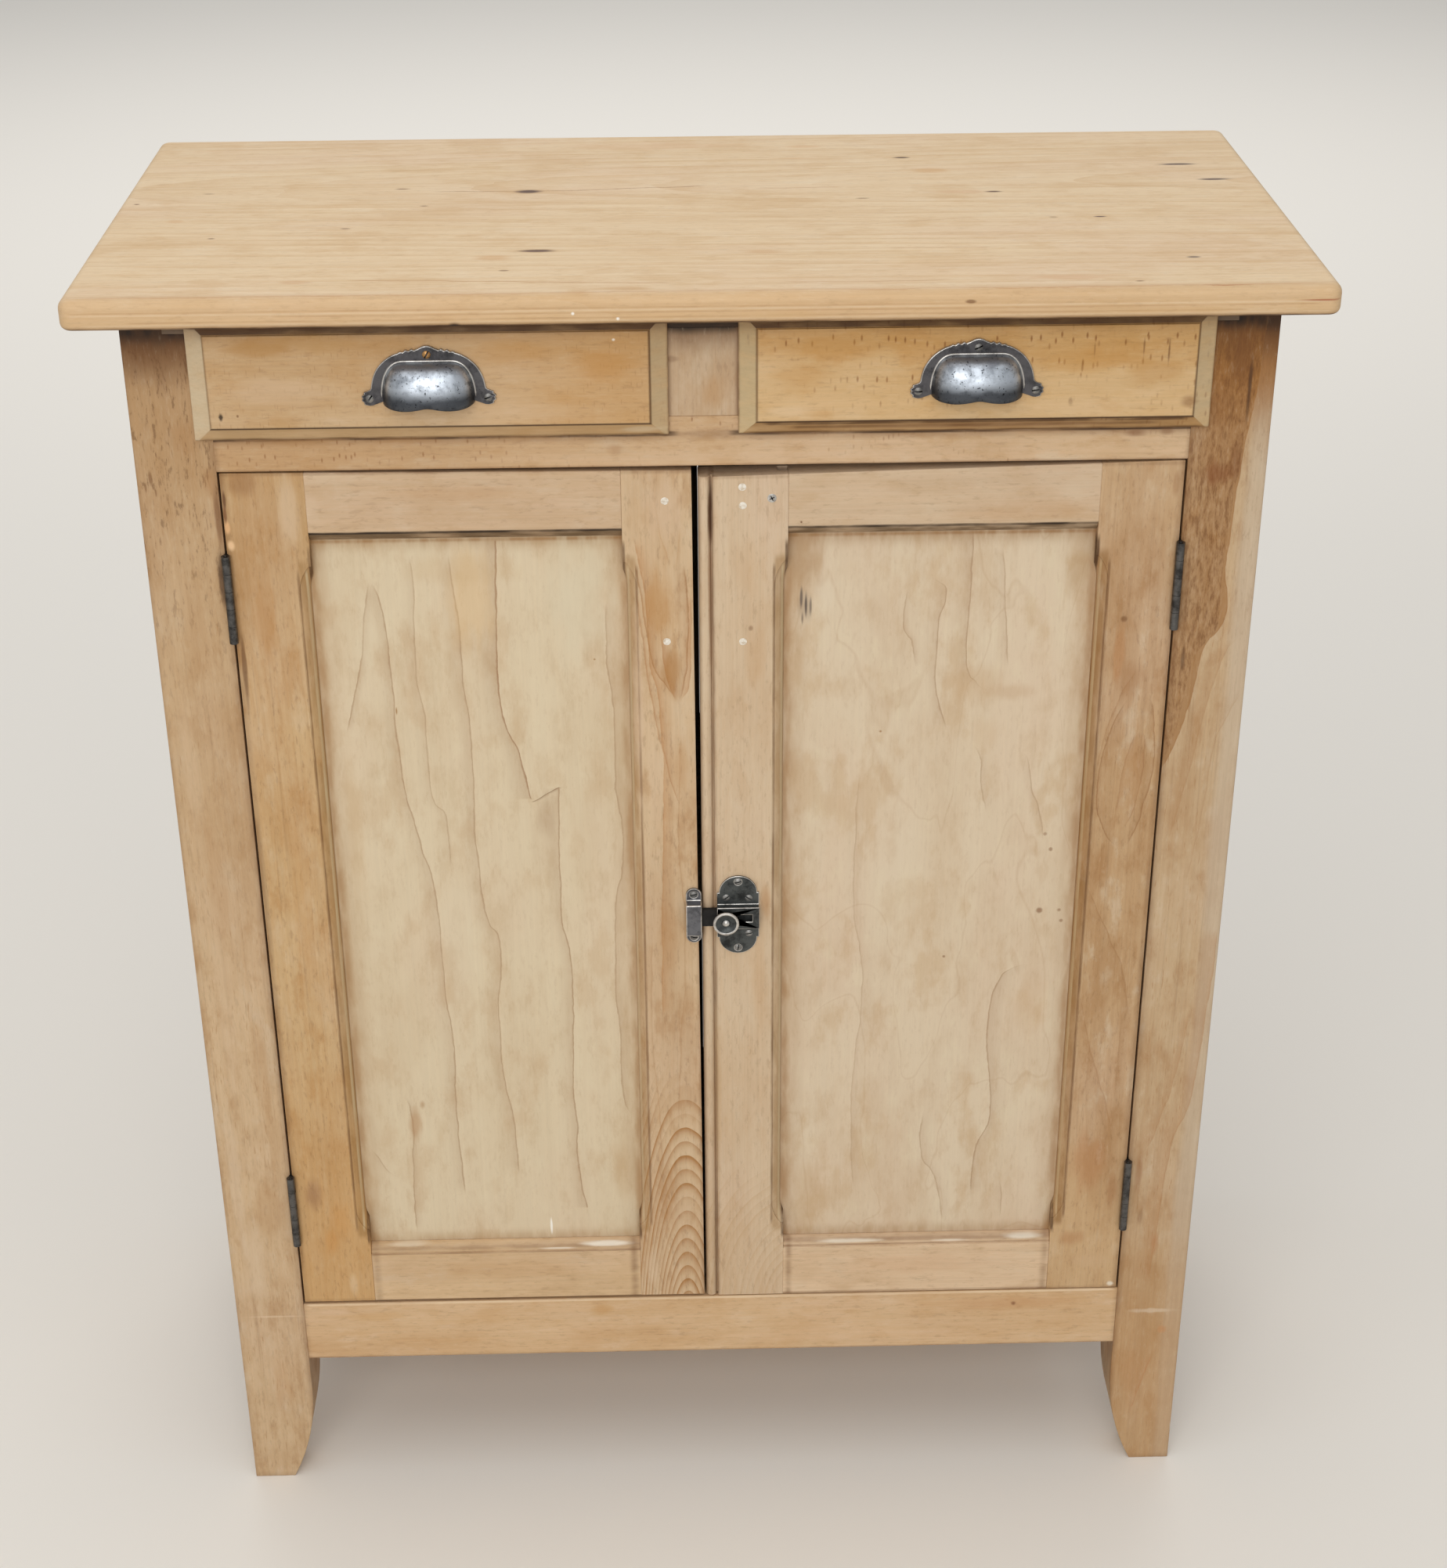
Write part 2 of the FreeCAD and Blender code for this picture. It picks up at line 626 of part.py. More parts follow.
def stile(name, outward, width, edge_x, door, bead):
    """Stile whose outer edge is at edge_x; outward is the X direction of its panel edge."""
    body = doc.addObject("PartDesign::Body", name)
    if bead:
        outer = [("0", "bead_width / 2", "bead_width / 2", outward),
                 (f"{outward} * bead_width / 2", "0", "bead_width / 2", outward),
                 (f"{outward} * bead_width", "bead_width / 2"),
                 (f"{outward} * (bead_width + quirk_width)", "bead_width / 2"),
                 (f"{outward} * (bead_width + quirk_width)", "0")]
    else:
        outer = [("0", "0")]
    inner = [(f"{outward} * {width}", "0"), (f"{outward} * {width}", "panel_recess"),
             (f"{outward} * ({width} - groove_depth)", "panel_recess"),
             (f"{outward} * ({width} - groove_depth)", GROOVE_BACK),
             (f"{outward} * {width}", GROOVE_BACK), (f"{outward} * {width}", "door_thickness"),
             ("0", "door_thickness")]
    section = outline(body, "XY_Plane", f"{name}_section", outer + inner)
    height = f"{DOOR_TOP} - {door['base']}"
    pad(body, f"{name}_pad", section, height)
    # Moulding cutter: leaves the panel edge sideways on an arc at each end
    edge = f"{outward} * ({width} - moulding_width)"
    first = "(door_bottom_rail_height + stop_distance)"
    last = f"({height} - door_top_rail_height - stop_distance)"
    sweep = "(stop_radius - sqrt(stop_radius ^ 2 - stop_run ^ 2))"
    exit_x = f"{outward} * ({width} - moulding_width + {sweep})"
    path = outline(body, "XZ_Plane", f"{name}_path", [
        (exit_x, first, "stop_radius", -outward),
        (edge, f"{first} + stop_run"),
        (edge, f"{last} - stop_run", "stop_radius", -outward),
        (exit_x, last)], closed=False)
    far = f"{exit_x} + {outward} * (moulding_width + overrun)"
    profile = outline(body, "XY_Plane", f"{name}_moulding", [
        (exit_x, "-overrun"),
        (exit_x, "moulding_fillet", "panel_recess - moulding_fillet", outward),
        (f"{exit_x} + {outward} * (panel_recess - moulding_fillet)", "panel_recess"),
        (far, "panel_recess"),
        (far, "-overrun")], offset=first)
    pipe = body.newObject("PartDesign::SubtractivePipe", f"{name}_pipe")
    pipe.Profile = profile
    pipe.Spine = (path, ["Edge1", "Edge2", "Edge3"])
    pipe.Mode = "Fixed"
    place(body, edge_x, FRONT, door["base"])
    return body


def door_rail(name, side, near, far, base, height, moulding_up):
    """Rail between the stiles, moulded and grooved on its panel edge, with a tenon at each end."""
    body = doc.addObject("PartDesign::Body", f"{name}_blank")
    up = 1 if moulding_up else -1
    edge = f"{up} * {height} / 2"
    back_edge = f"-{up} * {height} / 2"
    round_radius = "(panel_recess - moulding_fillet)"
    section = outline(body, "YZ_Plane", f"{name}_section", [
        ("0", back_edge),
        ("0", f"{edge} - {up} * moulding_width"),
        ("moulding_fillet", f"{edge} - {up} * moulding_width", round_radius, -up),
        ("panel_recess", f"{edge} - {up} * (moulding_width - {round_radius})"),
        ("panel_recess", f"{edge} - {up} * groove_depth"),
        (GROOVE_BACK, f"{edge} - {up} * groove_depth"),
        (GROOVE_BACK, edge),
        ("door_thickness", edge),
        ("door_thickness", back_edge)])
    pad(body, f"{name}_pad", section, f"{far} - ({near})")
    span = sided(side, near, far)
    place(body, span[0], FRONT, f"{base} + {height} / 2")
    pieces = [body]
    tenon_y = (f"{FRONT} + panel_recess", f"{FRONT} + {GROOVE_BACK}")
    shoulder = "(tenon_shoulder + moulding_width)"
    tenon_z = (f"{base} + {shoulder}", f"{base} + {height} - {shoulder}")
    tenons = ((f"{span[0]} - tenon_length", span[0]), (span[1], f"{span[1]} + tenon_length"))
    for number, tenon_x in enumerate(tenons):
        pieces.append(block(f"{name}_tenon_{number}", tenon_x, tenon_y, tenon_z))
    return pieces


def planing_wedge(name, door, side):
    """Wedge above the door's sloping top edge, deepest at the meeting edge."""
    body = doc.addObject("PartDesign::Body", name)
    low = f"{side} * ({door['meeting']} - overrun)"
    high = f"{side} * {DOOR_EDGE}"
    shape = outline(body, "XZ_Plane", f"{name}_outline", [
        (low, f"-{door['drop']}"), (high, "0"), (high, "overrun"), (low, "overrun")])
    pad(body, f"{name}_pad", shape, "door_thickness + 2 * overrun", backwards=True)
    place(body, "0", f"{FRONT} - overrun", DOOR_TOP)
    return body


def door_frame(side):
    door = door_data(side)
    word = door["word"]
    wedge = planing_wedge(f"{word}_door_wedge", door, side)
    hinge_inner = f"({DOOR_EDGE} - hinge_stile_width)"
    meeting_inner = f"({door['meeting']} + {door['meeting_width']})"
    names = {"hinge": f"{word}_door_hinge_stile", "meeting": f"{word}_door_meeting_stile"}
    hinge = stile(f"{names['hinge']}_blank", -side, "hinge_stile_width",
                  f"{side} * {DOOR_EDGE}", door, False)
    meeting = stile(f"{names['meeting']}_blank", side, door["meeting_width"],
                    f"{side} * {door['meeting']}", door, side > 0)
    top_base = f"({DOOR_TOP} - door_top_rail_height)"
    levels = {"top": (top_base, "door_top_rail_height"),
              "bottom": (door["base"], "door_bottom_rail_height")}
    for level, (base, height) in levels.items():
        node = f"{word}_door_{level}_rail"
        pieces = door_rail(node, side, meeting_inner, hinge_inner, base, height, level == "bottom")
        for end in (0, 1):
            host = names["meeting"] if (end == 0) == (side > 0) else names["hinge"]
            cutter(host, pieces[1 + end])
        if level == "top":
            cutter(node, wedge)
        finish_cut(node, joined(f"{node}_whole", pieces))
    for name in names.values():
        cutter(name, wedge)
    if side < 0:
        cutter(names["meeting"], meeting_wedge(door))
    finish_cut(names["hinge"], hinge)
    finish_cut(names["meeting"], meeting)
    room = "(groove_depth - panel_slack)"
    finished(f"{word}_door_panel", block(
        f"{word}_door_panel",
        sided(side, f"{meeting_inner} - {room}", f"{hinge_inner} + {room}"),
        (f"{FRONT} + panel_recess", f"{FRONT} + {GROOVE_BACK}"),
        (f"{door['base']} + door_bottom_rail_height - {room}", f"{top_base} + {room}")))


def meeting_wedge(door):
    """Sliver planed off the left door's meeting edge, widest at the top."""
    body = doc.addObject("PartDesign::Body", "left_meeting_wedge")
    edge = f"-{door['meeting']}"
    shape = outline(body, "XZ_Plane", "left_meeting_wedge_outline", [
        (edge, door["base"]), (f"{edge} + overrun", door["base"]),
        (f"{edge} + overrun", DOOR_TOP), (f"{edge} - left_meeting_taper", DOOR_TOP)])
    pad(body, "left_meeting_wedge_pad", shape, "door_thickness + 2 * overrun", backwards=True)
    place(body, "0", f"{FRONT} - overrun", "0")
    return body


# Butt hinges with knuckles that stand proud of the doors

def hinges(side):
    word = "left" if side < 0 else "right"
    post_side = f"({HINGE_LINE} + leaf_clearance / 2)"
    door_side = f"({HINGE_LINE} - leaf_clearance / 2)"
    leaf_spans = {"post": (post_side, f"{post_side} + leaf_thickness"),
                  "door": (f"{door_side} - leaf_thickness", door_side)}
    hosts = {"post": f"front_{word}_post", "door": f"{word}_door_hinge_stile"}
    knuckle = f"((hinge_length - {KNUCKLE_COUNT - 1} * knuckle_gap) / {KNUCKLE_COUNT})"
    bases = {"upper": f"({MID_RAIL_BASE} - hinge_top_inset - hinge_length)",
             "lower": f"({BOTTOM_RAIL_TOP} + hinge_bottom_inset)"}
    leaves = {"post": [], "door": []}
    pins = []
    axis_x = f"{side} * {HINGE_LINE}"
    for height, base in bases.items():
        bore = rod(f"{word}_{height}_hinge_bore", "z", "pin_radius + pin_clearance",
                   "hinge_length + 2 * overrun", axis_x, HINGE_AXIS, f"{base} - overrun")
        for kind, span in leaf_spans.items():
            name = f"{word}_{height}_hinge_{kind}_leaf"
            band = sided(side, *span)
            whole_level = (base, f"{base} + hinge_length")
            plate_y = (f"{FRONT} + leaf_clearance", f"{FRONT} + leaf_depth")
            pieces = [block(f"{name}_plate", band, plate_y, whole_level)]
            first = 0 if kind == "post" else 1
            for number in range(first, KNUCKLE_COUNT, 2):
                low = f"({base} + {number} * ({knuckle} + knuckle_gap))"
                pieces.append(block(f"{name}_tab_{number}", band,
                                    (HINGE_AXIS, f"{FRONT} + leaf_clearance"), (low, f"{low} + {knuckle}")))
                pieces.append(rod(f"{name}_knuckle_{number}", "z", "knuckle_radius", knuckle,
                                  axis_x, HINGE_AXIS, low))
            leaves[kind].append(carved(name, joined(f"{name}_whole", pieces), [bore]))
            recess_y = (f"{FRONT} - overrun", f"{FRONT} + leaf_depth")
            cutter(hosts[kind], block(f"{name}_recess", band, recess_y, whole_level))
        pins.append(rod(f"{word}_{height}_hinge_pin", "z", "pin_radius", "hinge_length + 2 * pin_reveal",
                        axis_x, HINGE_AXIS, f"{base} - pin_reveal"))
    for kind in leaves:
        finished(f"{word}_hinge_{kind}_leaves", grouped(f"{word}_hinge_{kind}_leaves", leaves[kind]))
    finished(f"{word}_hinge_pins", grouped(f"{word}_hinge_pins", pins))


# Drawers with lipped, bevelled fronts and cup pulls

LIP_NEAR = f"({DIVIDER_FACE} - lip_overlap_divider)"
LIP_FAR = f"({POST_FACE} + lip_overlap_post)"
LIP_BASE = f"({MID_RAIL_TOP} - lip_overlap_mid_rail)"
LIP_TOP = f"({TOP_RAIL_BASE} + lip_overlap_top_rail)"
LIP_BACK = f"({FRONT} - lip_gap)"
FIELD_FACE = f"({LIP_BACK} - lip_edge - bevel_rise - field_step)"
BOX_BASE = f"({MID_RAIL_TOP} + drawer_play)"
BOX_NEAR = f"({DIVIDER_FACE} + drawer_clearance)"
BOX_FAR = f"({POST_FACE} - drawer_clearance)"
CORE_TOP = f"({TOP_RAIL_BASE} - drawer_clearance)"
CORE_BACK = f"({FRONT} + core_thickness)"
BOX_BACK = f"({BACK_RAIL_FACE} - drawer_back_clearance)"


def drawer_front(name, side):
    """Overlay front: square lip, bevelled border with mitred corners, raised field and core behind."""
    body = doc.addObject("PartDesign::Body", name)
    lip_x = sided(side, LIP_NEAR, LIP_FAR)
    lip_z = (LIP_BASE, LIP_TOP)
    field_x = (f"{lip_x[0]} + border_side", f"{lip_x[1]} - border_side")
    field_z = (f"{LIP_BASE} + border_edge", f"{LIP_TOP} - border_edge")
    edge = rectangle(body, "XZ_Plane", f"{name}_lip", lip_x, lip_z)
    pad(body, f"{name}_lip_pad", edge, "lip_edge")
    outer = rectangle(body, "XZ_Plane", f"{name}_bevel_outer", lip_x, lip_z, "lip_edge")
    inner = rectangle(body, "XZ_Plane", f"{name}_bevel_inner", field_x, field_z, "lip_edge + bevel_rise")
    bevel = body.newObject("PartDesign::AdditiveLoft", f"{name}_bevel")
    bevel.Profile = outer
    bevel.Sections = [inner]
    bevel.Ruled = True
    raised = rectangle(body, "XZ_Plane", f"{name}_field", field_x, field_z, "lip_edge + bevel_rise")
    pad(body, f"{name}_field_pad", raised, "field_step")
    core_x = sided(side, BOX_NEAR, BOX_FAR)
    core = rectangle(body, "XZ_Plane", f"{name}_core", core_x, (BOX_BASE, CORE_TOP))
    pad(body, f"{name}_core_pad", core, "core_thickness + lip_gap", backwards=True)
    place(body, "0", LIP_BACK, "0")
    return body


def drawer(side):
    word = "left" if side < 0 else "right"
    front_node = f"{word}_drawer_front"
    side_level = (BOX_BASE, f"{CORE_TOP} - drawer_side_drop")
    side_length = (f"{CORE_BACK} - drawer_side_lap", BOX_BACK)
    walls = {"inner": sided(side, BOX_NEAR, f"{BOX_NEAR} + drawer_side_thickness"),
             "outer": sided(side, f"{BOX_FAR} - drawer_side_thickness", BOX_FAR)}
    inside = (f"{BOX_NEAR} + drawer_side_thickness", f"{BOX_FAR} - drawer_side_thickness")
    bottom_base = f"({BOX_BASE} + drawer_bottom_lift)"
    bottom_z = (bottom_base, f"{bottom_base} + drawer_bottom_thickness")
    bottom_x = (f"{inside[0]} - drawer_bottom_housing", f"{inside[1]} + drawer_bottom_housing")
    bottom_y = (f"{CORE_BACK} - drawer_bottom_housing", BOX_BACK)
    bottom = block(f"{word}_drawer_bottom", sided(side, *bottom_x), bottom_y, bottom_z)
    finished(f"{word}_drawer_bottom", bottom)
    cutter(front_node, bottom)
    for name, band in walls.items():
        node = f"{word}_drawer_{name}_side"
        wall = block(f"{node}_board", band, side_length, side_level)
        cutter(front_node, wall)
        cutter(node, bottom)
        finish_cut(node, wall)
    finished(f"{word}_drawer_back", block(
        f"{word}_drawer_back", sided(side, *inside), (f"{BOX_BACK} - drawer_back_thickness", BOX_BACK),
        (bottom_z[1], side_level[1])))
    cup_pull(word, side)
    finish_cut(front_node, drawer_front(f"{front_node}_blank", side))


def cup_profile(bands, skin):
    """Corners of the cup's section, which follows a superellipse from the mouth to the top."""
    corners = [("0", f"cup_height - {skin}"), ("0", "0")]
    for number in range(bands + 1):
        angle = math.pi / 2 * number / bands
        level_share = math.sin(angle) ** (2 / CUP_POWER)
        round_share = max(math.cos(angle), 0) ** (2 / CUP_POWER)
        deep = f"(cup_top_depth + (cup_depth - cup_top_depth) * {round_share} - {skin})"
        corners.append((f"-{deep}", f"{level_share} * (cup_height - {skin})"))
    return corners


def cup_solid(name, bands, skin, x, z):
    """Half of a bowl: the section swept along the middle and turned round at both ends."""
    body = doc.addObject("PartDesign::Body", name)
    straight = "(cup_half_width - cup_depth)"
    for word, way in (("left", -1), ("right", 1)):
        profile = outline(body, "YZ_Plane", f"{name}_{word}_profile", cup_profile(bands, skin),
                          offset=f"{way} * {straight}")
        if way < 0:
            pad(body, f"{name}_middle", profile, f"2 * {straight}")
        end = body.newObject("PartDesign::Revolution", f"{name}_{word}_end")
        end.Profile = profile
        end.ReferenceAxis = (profile, ["V_Axis"])
        end.Angle = HALF_TURN
        end.Midplane = True
    place(body, x, FIELD_FACE, z)
    return body


def cup_pull(word, side):
    """Cast cup pull: arched flange with two ears and a finial, and a two-lobed hollow cup."""
    node = f"{word}_cup_pull"
    x = f"({side} * ({LIP_NEAR} + {LIP_FAR}) / 2)"
    z = f"({LIP_TOP} - border_edge - pull_drop)"
    mouth = f"({z} - cup_drop)"
    face = f"({FIELD_FACE} - flange_thickness)"
    arch = doc.addObject("PartDesign::Body", f"{node}_arch")
    basket = outline(arch, "XZ_Plane", f"{node}_basket", [
        ("-flange_half_width", "-ear_radius"), ("flange_half_width", "-ear_radius"),
        ("flange_half_width", "shoulder_base", "shoulder_radius", 1),
        ("crown_half_width", "crown_base", "crown_radius", 1),
        ("-crown_half_width", "crown_base", "shoulder_radius", 1),
        ("-flange_half_width", "shoulder_base")])
    pad(arch, f"{node}_arch_pad", basket, "flange_thickness")
    place(arch, x, FIELD_FACE, z)
    flange = [arch]
    for number, ear in enumerate((-1, 1)):
        flange.append(rod(f"{node}_ear_{number}", "y", "ear_radius", "flange_thickness",
                          f"{x} + {ear} * ear_spread", face, z))
    flange.append(rod(f"{node}_finial", "y", "finial_radius", "flange_thickness",
                      x, face, f"{z} + finial_height"))
    shell = cup_solid(f"{node}_shell", CUP_BANDS, "0", x, mouth)
    hollow_half = "(cup_half_width - cup_wall)"
    cutter(node, cup_solid(f"{node}_hollow", HOLLOW_BANDS, "cup_wall", x, mouth))
    cutter(node, block(f"{node}_mouth_room", (f"{x} - {hollow_half}", f"{x} + {hollow_half}"),
                       (f"{face} - overrun", FIELD_FACE), (f"{z} - ear_radius - overrun", mouth)))
    lobes = []
    for number, lobe in enumerate((-1, 1)):
        lobes.append(rod(f"{node}_lobe_{number}", "y", "lobe_radius", "cup_depth + 2 * overrun",
                         f"{x} + {lobe} * lobe_spread", f"{FIELD_FACE} - cup_depth - overrun",
                         f"{mouth} + lobe_radius"))
    cup = shared(f"{node}_cup", shell, joined(f"{node}_lobes", lobes))
    centres = [(f"{x} - ear_spread", z), (f"{x} + ear_spread", z), (x, f"{z} + finial_height")]
    screw_set(f"{word}_pull_screws", centres, face, "flange_thickness", (node, f"{word}_drawer_front"), 35)
    finish_cut(node, joined(f"{node}_whole", flange + [cup]))


# Slide latch on the right door and keeper on the left door

LATCH_LEFT = "(latch_inset - meeting_offset)"
LATCH_RIGHT = f"({LATCH_LEFT} + latch_width)"
LATCH_MIDDLE = f"({LATCH_LEFT} + latch_width / 2)"
LATCH_FACE = f"({FRONT} - latch_case_depth)"
KEEPER_RIGHT = "(-meeting_offset - keeper_reach)"
KNOB_X = f"({LATCH_LEFT} + knob_inset)"
BOLT_BACK = f"({FRONT} - latch_plate_thickness - bolt_back_gap)"


def latch_level(height):
    return (f"latch_height - ({height}) / 2", f"latch_height + ({height}) / 2")


def latch():
    """Plate with a round lobe at each end and a raised case, slotted for the knob, that the bolt slides in."""
    plate_y = (f"{FRONT} - latch_plate_thickness", FRONT)
    pieces = [block("latch_base", (LATCH_LEFT, LATCH_RIGHT), plate_y, latch_level("latch_plate_height")),
              block("latch_case", (LATCH_LEFT, LATCH_RIGHT), (LATCH_FACE, FRONT),
                    latch_level("latch_case_height"))]
    for number, way in enumerate((-1, 1)):
        pieces.append(rod(f"latch_lobe_{number}", "y", "latch_lobe_radius", "latch_plate_thickness",
                          LATCH_MIDDLE, plate_y[0], f"latch_height + {way} * latch_plate_height / 2"))
    cutter("latch_plate", block(
        "latch_channel", (f"{LATCH_LEFT} - overrun", f"{LATCH_RIGHT} - latch_wall"),
        (f"{BOLT_BACK} - bolt_thickness - bolt_clearance", plate_y[0]),
        latch_level("bolt_height + 2 * bolt_clearance")))
    room = "(knob_stem_radius + bolt_clearance)"
    cutter("latch_plate", block(
        "latch_slot", (f"{KNOB_X} - bolt_throw - {room}", f"{KNOB_X} + bolt_draw + {room}"),
        (f"{LATCH_FACE} - overrun", plate_y[0]), latch_level("latch_slot_height")))
    screw_rise = "(latch_plate_height / 2 + latch_lobe_radius - screw_edge_margin)"
    lobe_screws = [(LATCH_MIDDLE, f"latch_height + {way} * {screw_rise}") for way in (-1, 1)]
    screw_set("latch_screws", lobe_screws, plate_y[0], "latch_plate_thickness",
              ("latch_plate", "right_door_meeting_stile"), 50)
    finish_cut("latch_plate", joined("latch_plate_whole", pieces))
    bolt = block("latch_bolt", (f"{KEEPER_RIGHT} + bolt_short", f"{KNOB_X} + bolt_tail"),
                 (f"{BOLT_BACK} - bolt_thickness", BOLT_BACK), latch_level("bolt_height"))
    finished("latch_bolt", bolt)
    latch_knob()


def latch_knob():
    """Turned knob: stem, flared back, chamfered rim, dished face and a low dome in its middle."""
    body = doc.addObject("PartDesign::Body", "latch_knob")
    stem = f"({BOLT_BACK} - bolt_thickness - {LATCH_FACE} + knob_stand)"
    rim = f"({stem} + knob_rim_depth)"
    dish = f"({rim} - knob_dish)"
    profile = outline(body, "XY_Plane", "latch_knob_profile", [
        ("0", "0"), ("0", f"-({dish} + knob_dome_height)"),
        ("knob_dome_top_radius", f"-({dish} + knob_dome_height)"),
        ("knob_dome_radius", f"-{dish}"),
        ("knob_radius - knob_rim_width", f"-{dish}"),
        ("knob_radius - knob_rim_width / 2", f"-{rim}"),
        ("knob_radius", f"-{dish}"),
        ("knob_radius - knob_rim_width", f"-{stem}"),
        ("knob_stem_radius", f"-{stem}"), ("knob_stem_radius", "0")])
    turned = body.newObject("PartDesign::Revolution", "latch_knob_turned")
    turned.Profile = profile
    turned.ReferenceAxis = (profile, ["V_Axis"])
    turned.Angle = 360
    place(body, KNOB_X, f"{BOLT_BACK} - bolt_thickness", "latch_height")
    finished("latch_knob", body)


def latch_keeper():
    """Strap with round ends and a raised bridge that the bolt slides under."""
    body = doc.addObject("PartDesign::Body", "latch_keeper_blank")
    half = "(keeper_height / 2)"
    bridge = "(keeper_bridge_height / 2)"
    clear = f"({bridge} - keeper_thickness)"
    section = outline(body, "YZ_Plane", "latch_keeper_section", [
        ("0", f"-{half}"), ("-keeper_thickness", f"-{half}"), ("-keeper_thickness", f"-{bridge}"),
        ("-keeper_depth", f"-{bridge}"), ("-keeper_depth", bridge), ("-keeper_thickness", bridge),
        ("-keeper_thickness", half), ("0", half), ("0", clear),
        ("keeper_thickness - keeper_depth", clear),
        ("keeper_thickness - keeper_depth", f"-{clear}"), ("0", f"-{clear}")])
    pad(body, "latch_keeper_pad", section, "keeper_width")
    place(body, f"{KEEPER_RIGHT} - keeper_width", FRONT, "latch_height")
    middle = f"{KEEPER_RIGHT} - keeper_width / 2"
    centres = [(middle, f"latch_height + {way} * ({half} + {bridge}) / 2") for way in (-1, 1)]
    screw_set("keeper_screws", centres, f"({FRONT} - keeper_thickness)", "keeper_thickness",
              ("latch_keeper", "left_door_meeting_stile"), 20)
    end_rise = f"({half} - keeper_width / 2)"
    strap = [block("keeper_strap", (f"{KEEPER_RIGHT} - keeper_width", KEEPER_RIGHT),
                   (f"{FRONT} - keeper_depth", FRONT), latch_level(f"2 * {end_rise}"))]
    for number, way in enumerate((-1, 1)):
        strap.append(rod(f"keeper_end_{number}", "y", "keeper_width / 2", "keeper_depth",
                         middle, f"{FRONT} - keeper_depth", f"latch_height + {way} * {end_rise}"))
    finish_cut("latch_keeper", shared("latch_keeper_whole", body, joined("keeper_outline", strap)))


# Build order: what cuts a piece comes before that piece is finished
top_board()
side_panels()
cupboard_floor()
case_frame()
for hand in (-1, 1):
    hinges(hand)
posts()
back_boards()
shelf()
drawer_runners()
latch()
latch_keeper()
for hand in (-1, 1):
    door_frame(hand)
    drawer(hand)

doc.recompute()
for thing in doc.Objects:
    if {"Invalid", "Error"} & set(thing.State):
        raise RuntimeError(f"{thing.Label} failed: {thing.State}")
for thing in nodes:
    if thing.Shape.isNull() or not thing.Shape.isValid() or not thing.Shape.Solids:
        raise RuntimeError(f"{thing.Label} has no valid shape")
if cutters:
    raise RuntimeError(f"cutters left over for {sorted(cutters)}")

os.makedirs("parts", exist_ok=True)
for thing in nodes:
    thing.Shape.exportStep(f"parts/{thing.Label}.step")
print(f"{len(nodes)} nodes written")
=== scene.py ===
import math

import bmesh
import bpy
import numpy as np
from mathutils import Matrix, Vector


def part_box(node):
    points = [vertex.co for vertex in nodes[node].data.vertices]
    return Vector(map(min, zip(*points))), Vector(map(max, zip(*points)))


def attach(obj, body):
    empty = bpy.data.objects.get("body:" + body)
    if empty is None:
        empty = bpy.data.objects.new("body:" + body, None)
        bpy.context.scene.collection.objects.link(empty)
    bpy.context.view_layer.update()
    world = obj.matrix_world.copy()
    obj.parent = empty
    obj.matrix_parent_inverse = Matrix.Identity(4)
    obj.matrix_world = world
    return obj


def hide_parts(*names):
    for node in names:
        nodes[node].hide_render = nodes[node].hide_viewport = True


mm = 0.001
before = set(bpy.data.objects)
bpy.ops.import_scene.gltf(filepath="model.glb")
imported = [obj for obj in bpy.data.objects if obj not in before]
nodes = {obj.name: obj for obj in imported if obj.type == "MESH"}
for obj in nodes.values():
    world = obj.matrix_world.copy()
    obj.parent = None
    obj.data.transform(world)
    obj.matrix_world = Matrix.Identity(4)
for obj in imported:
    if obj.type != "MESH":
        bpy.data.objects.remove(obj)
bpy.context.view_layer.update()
print("frame loaded with", len(nodes), "nodes")


# Helpers for materials

def linear(colour):
    # sRGB from 0 to 255 as linear light
    share = np.array(colour, float) / 255
    light = np.where(share <= 0.04045, share / 12.92, ((share + 0.055) / 1.055) ** 2.4)
    return (*light.tolist(), 1.0)


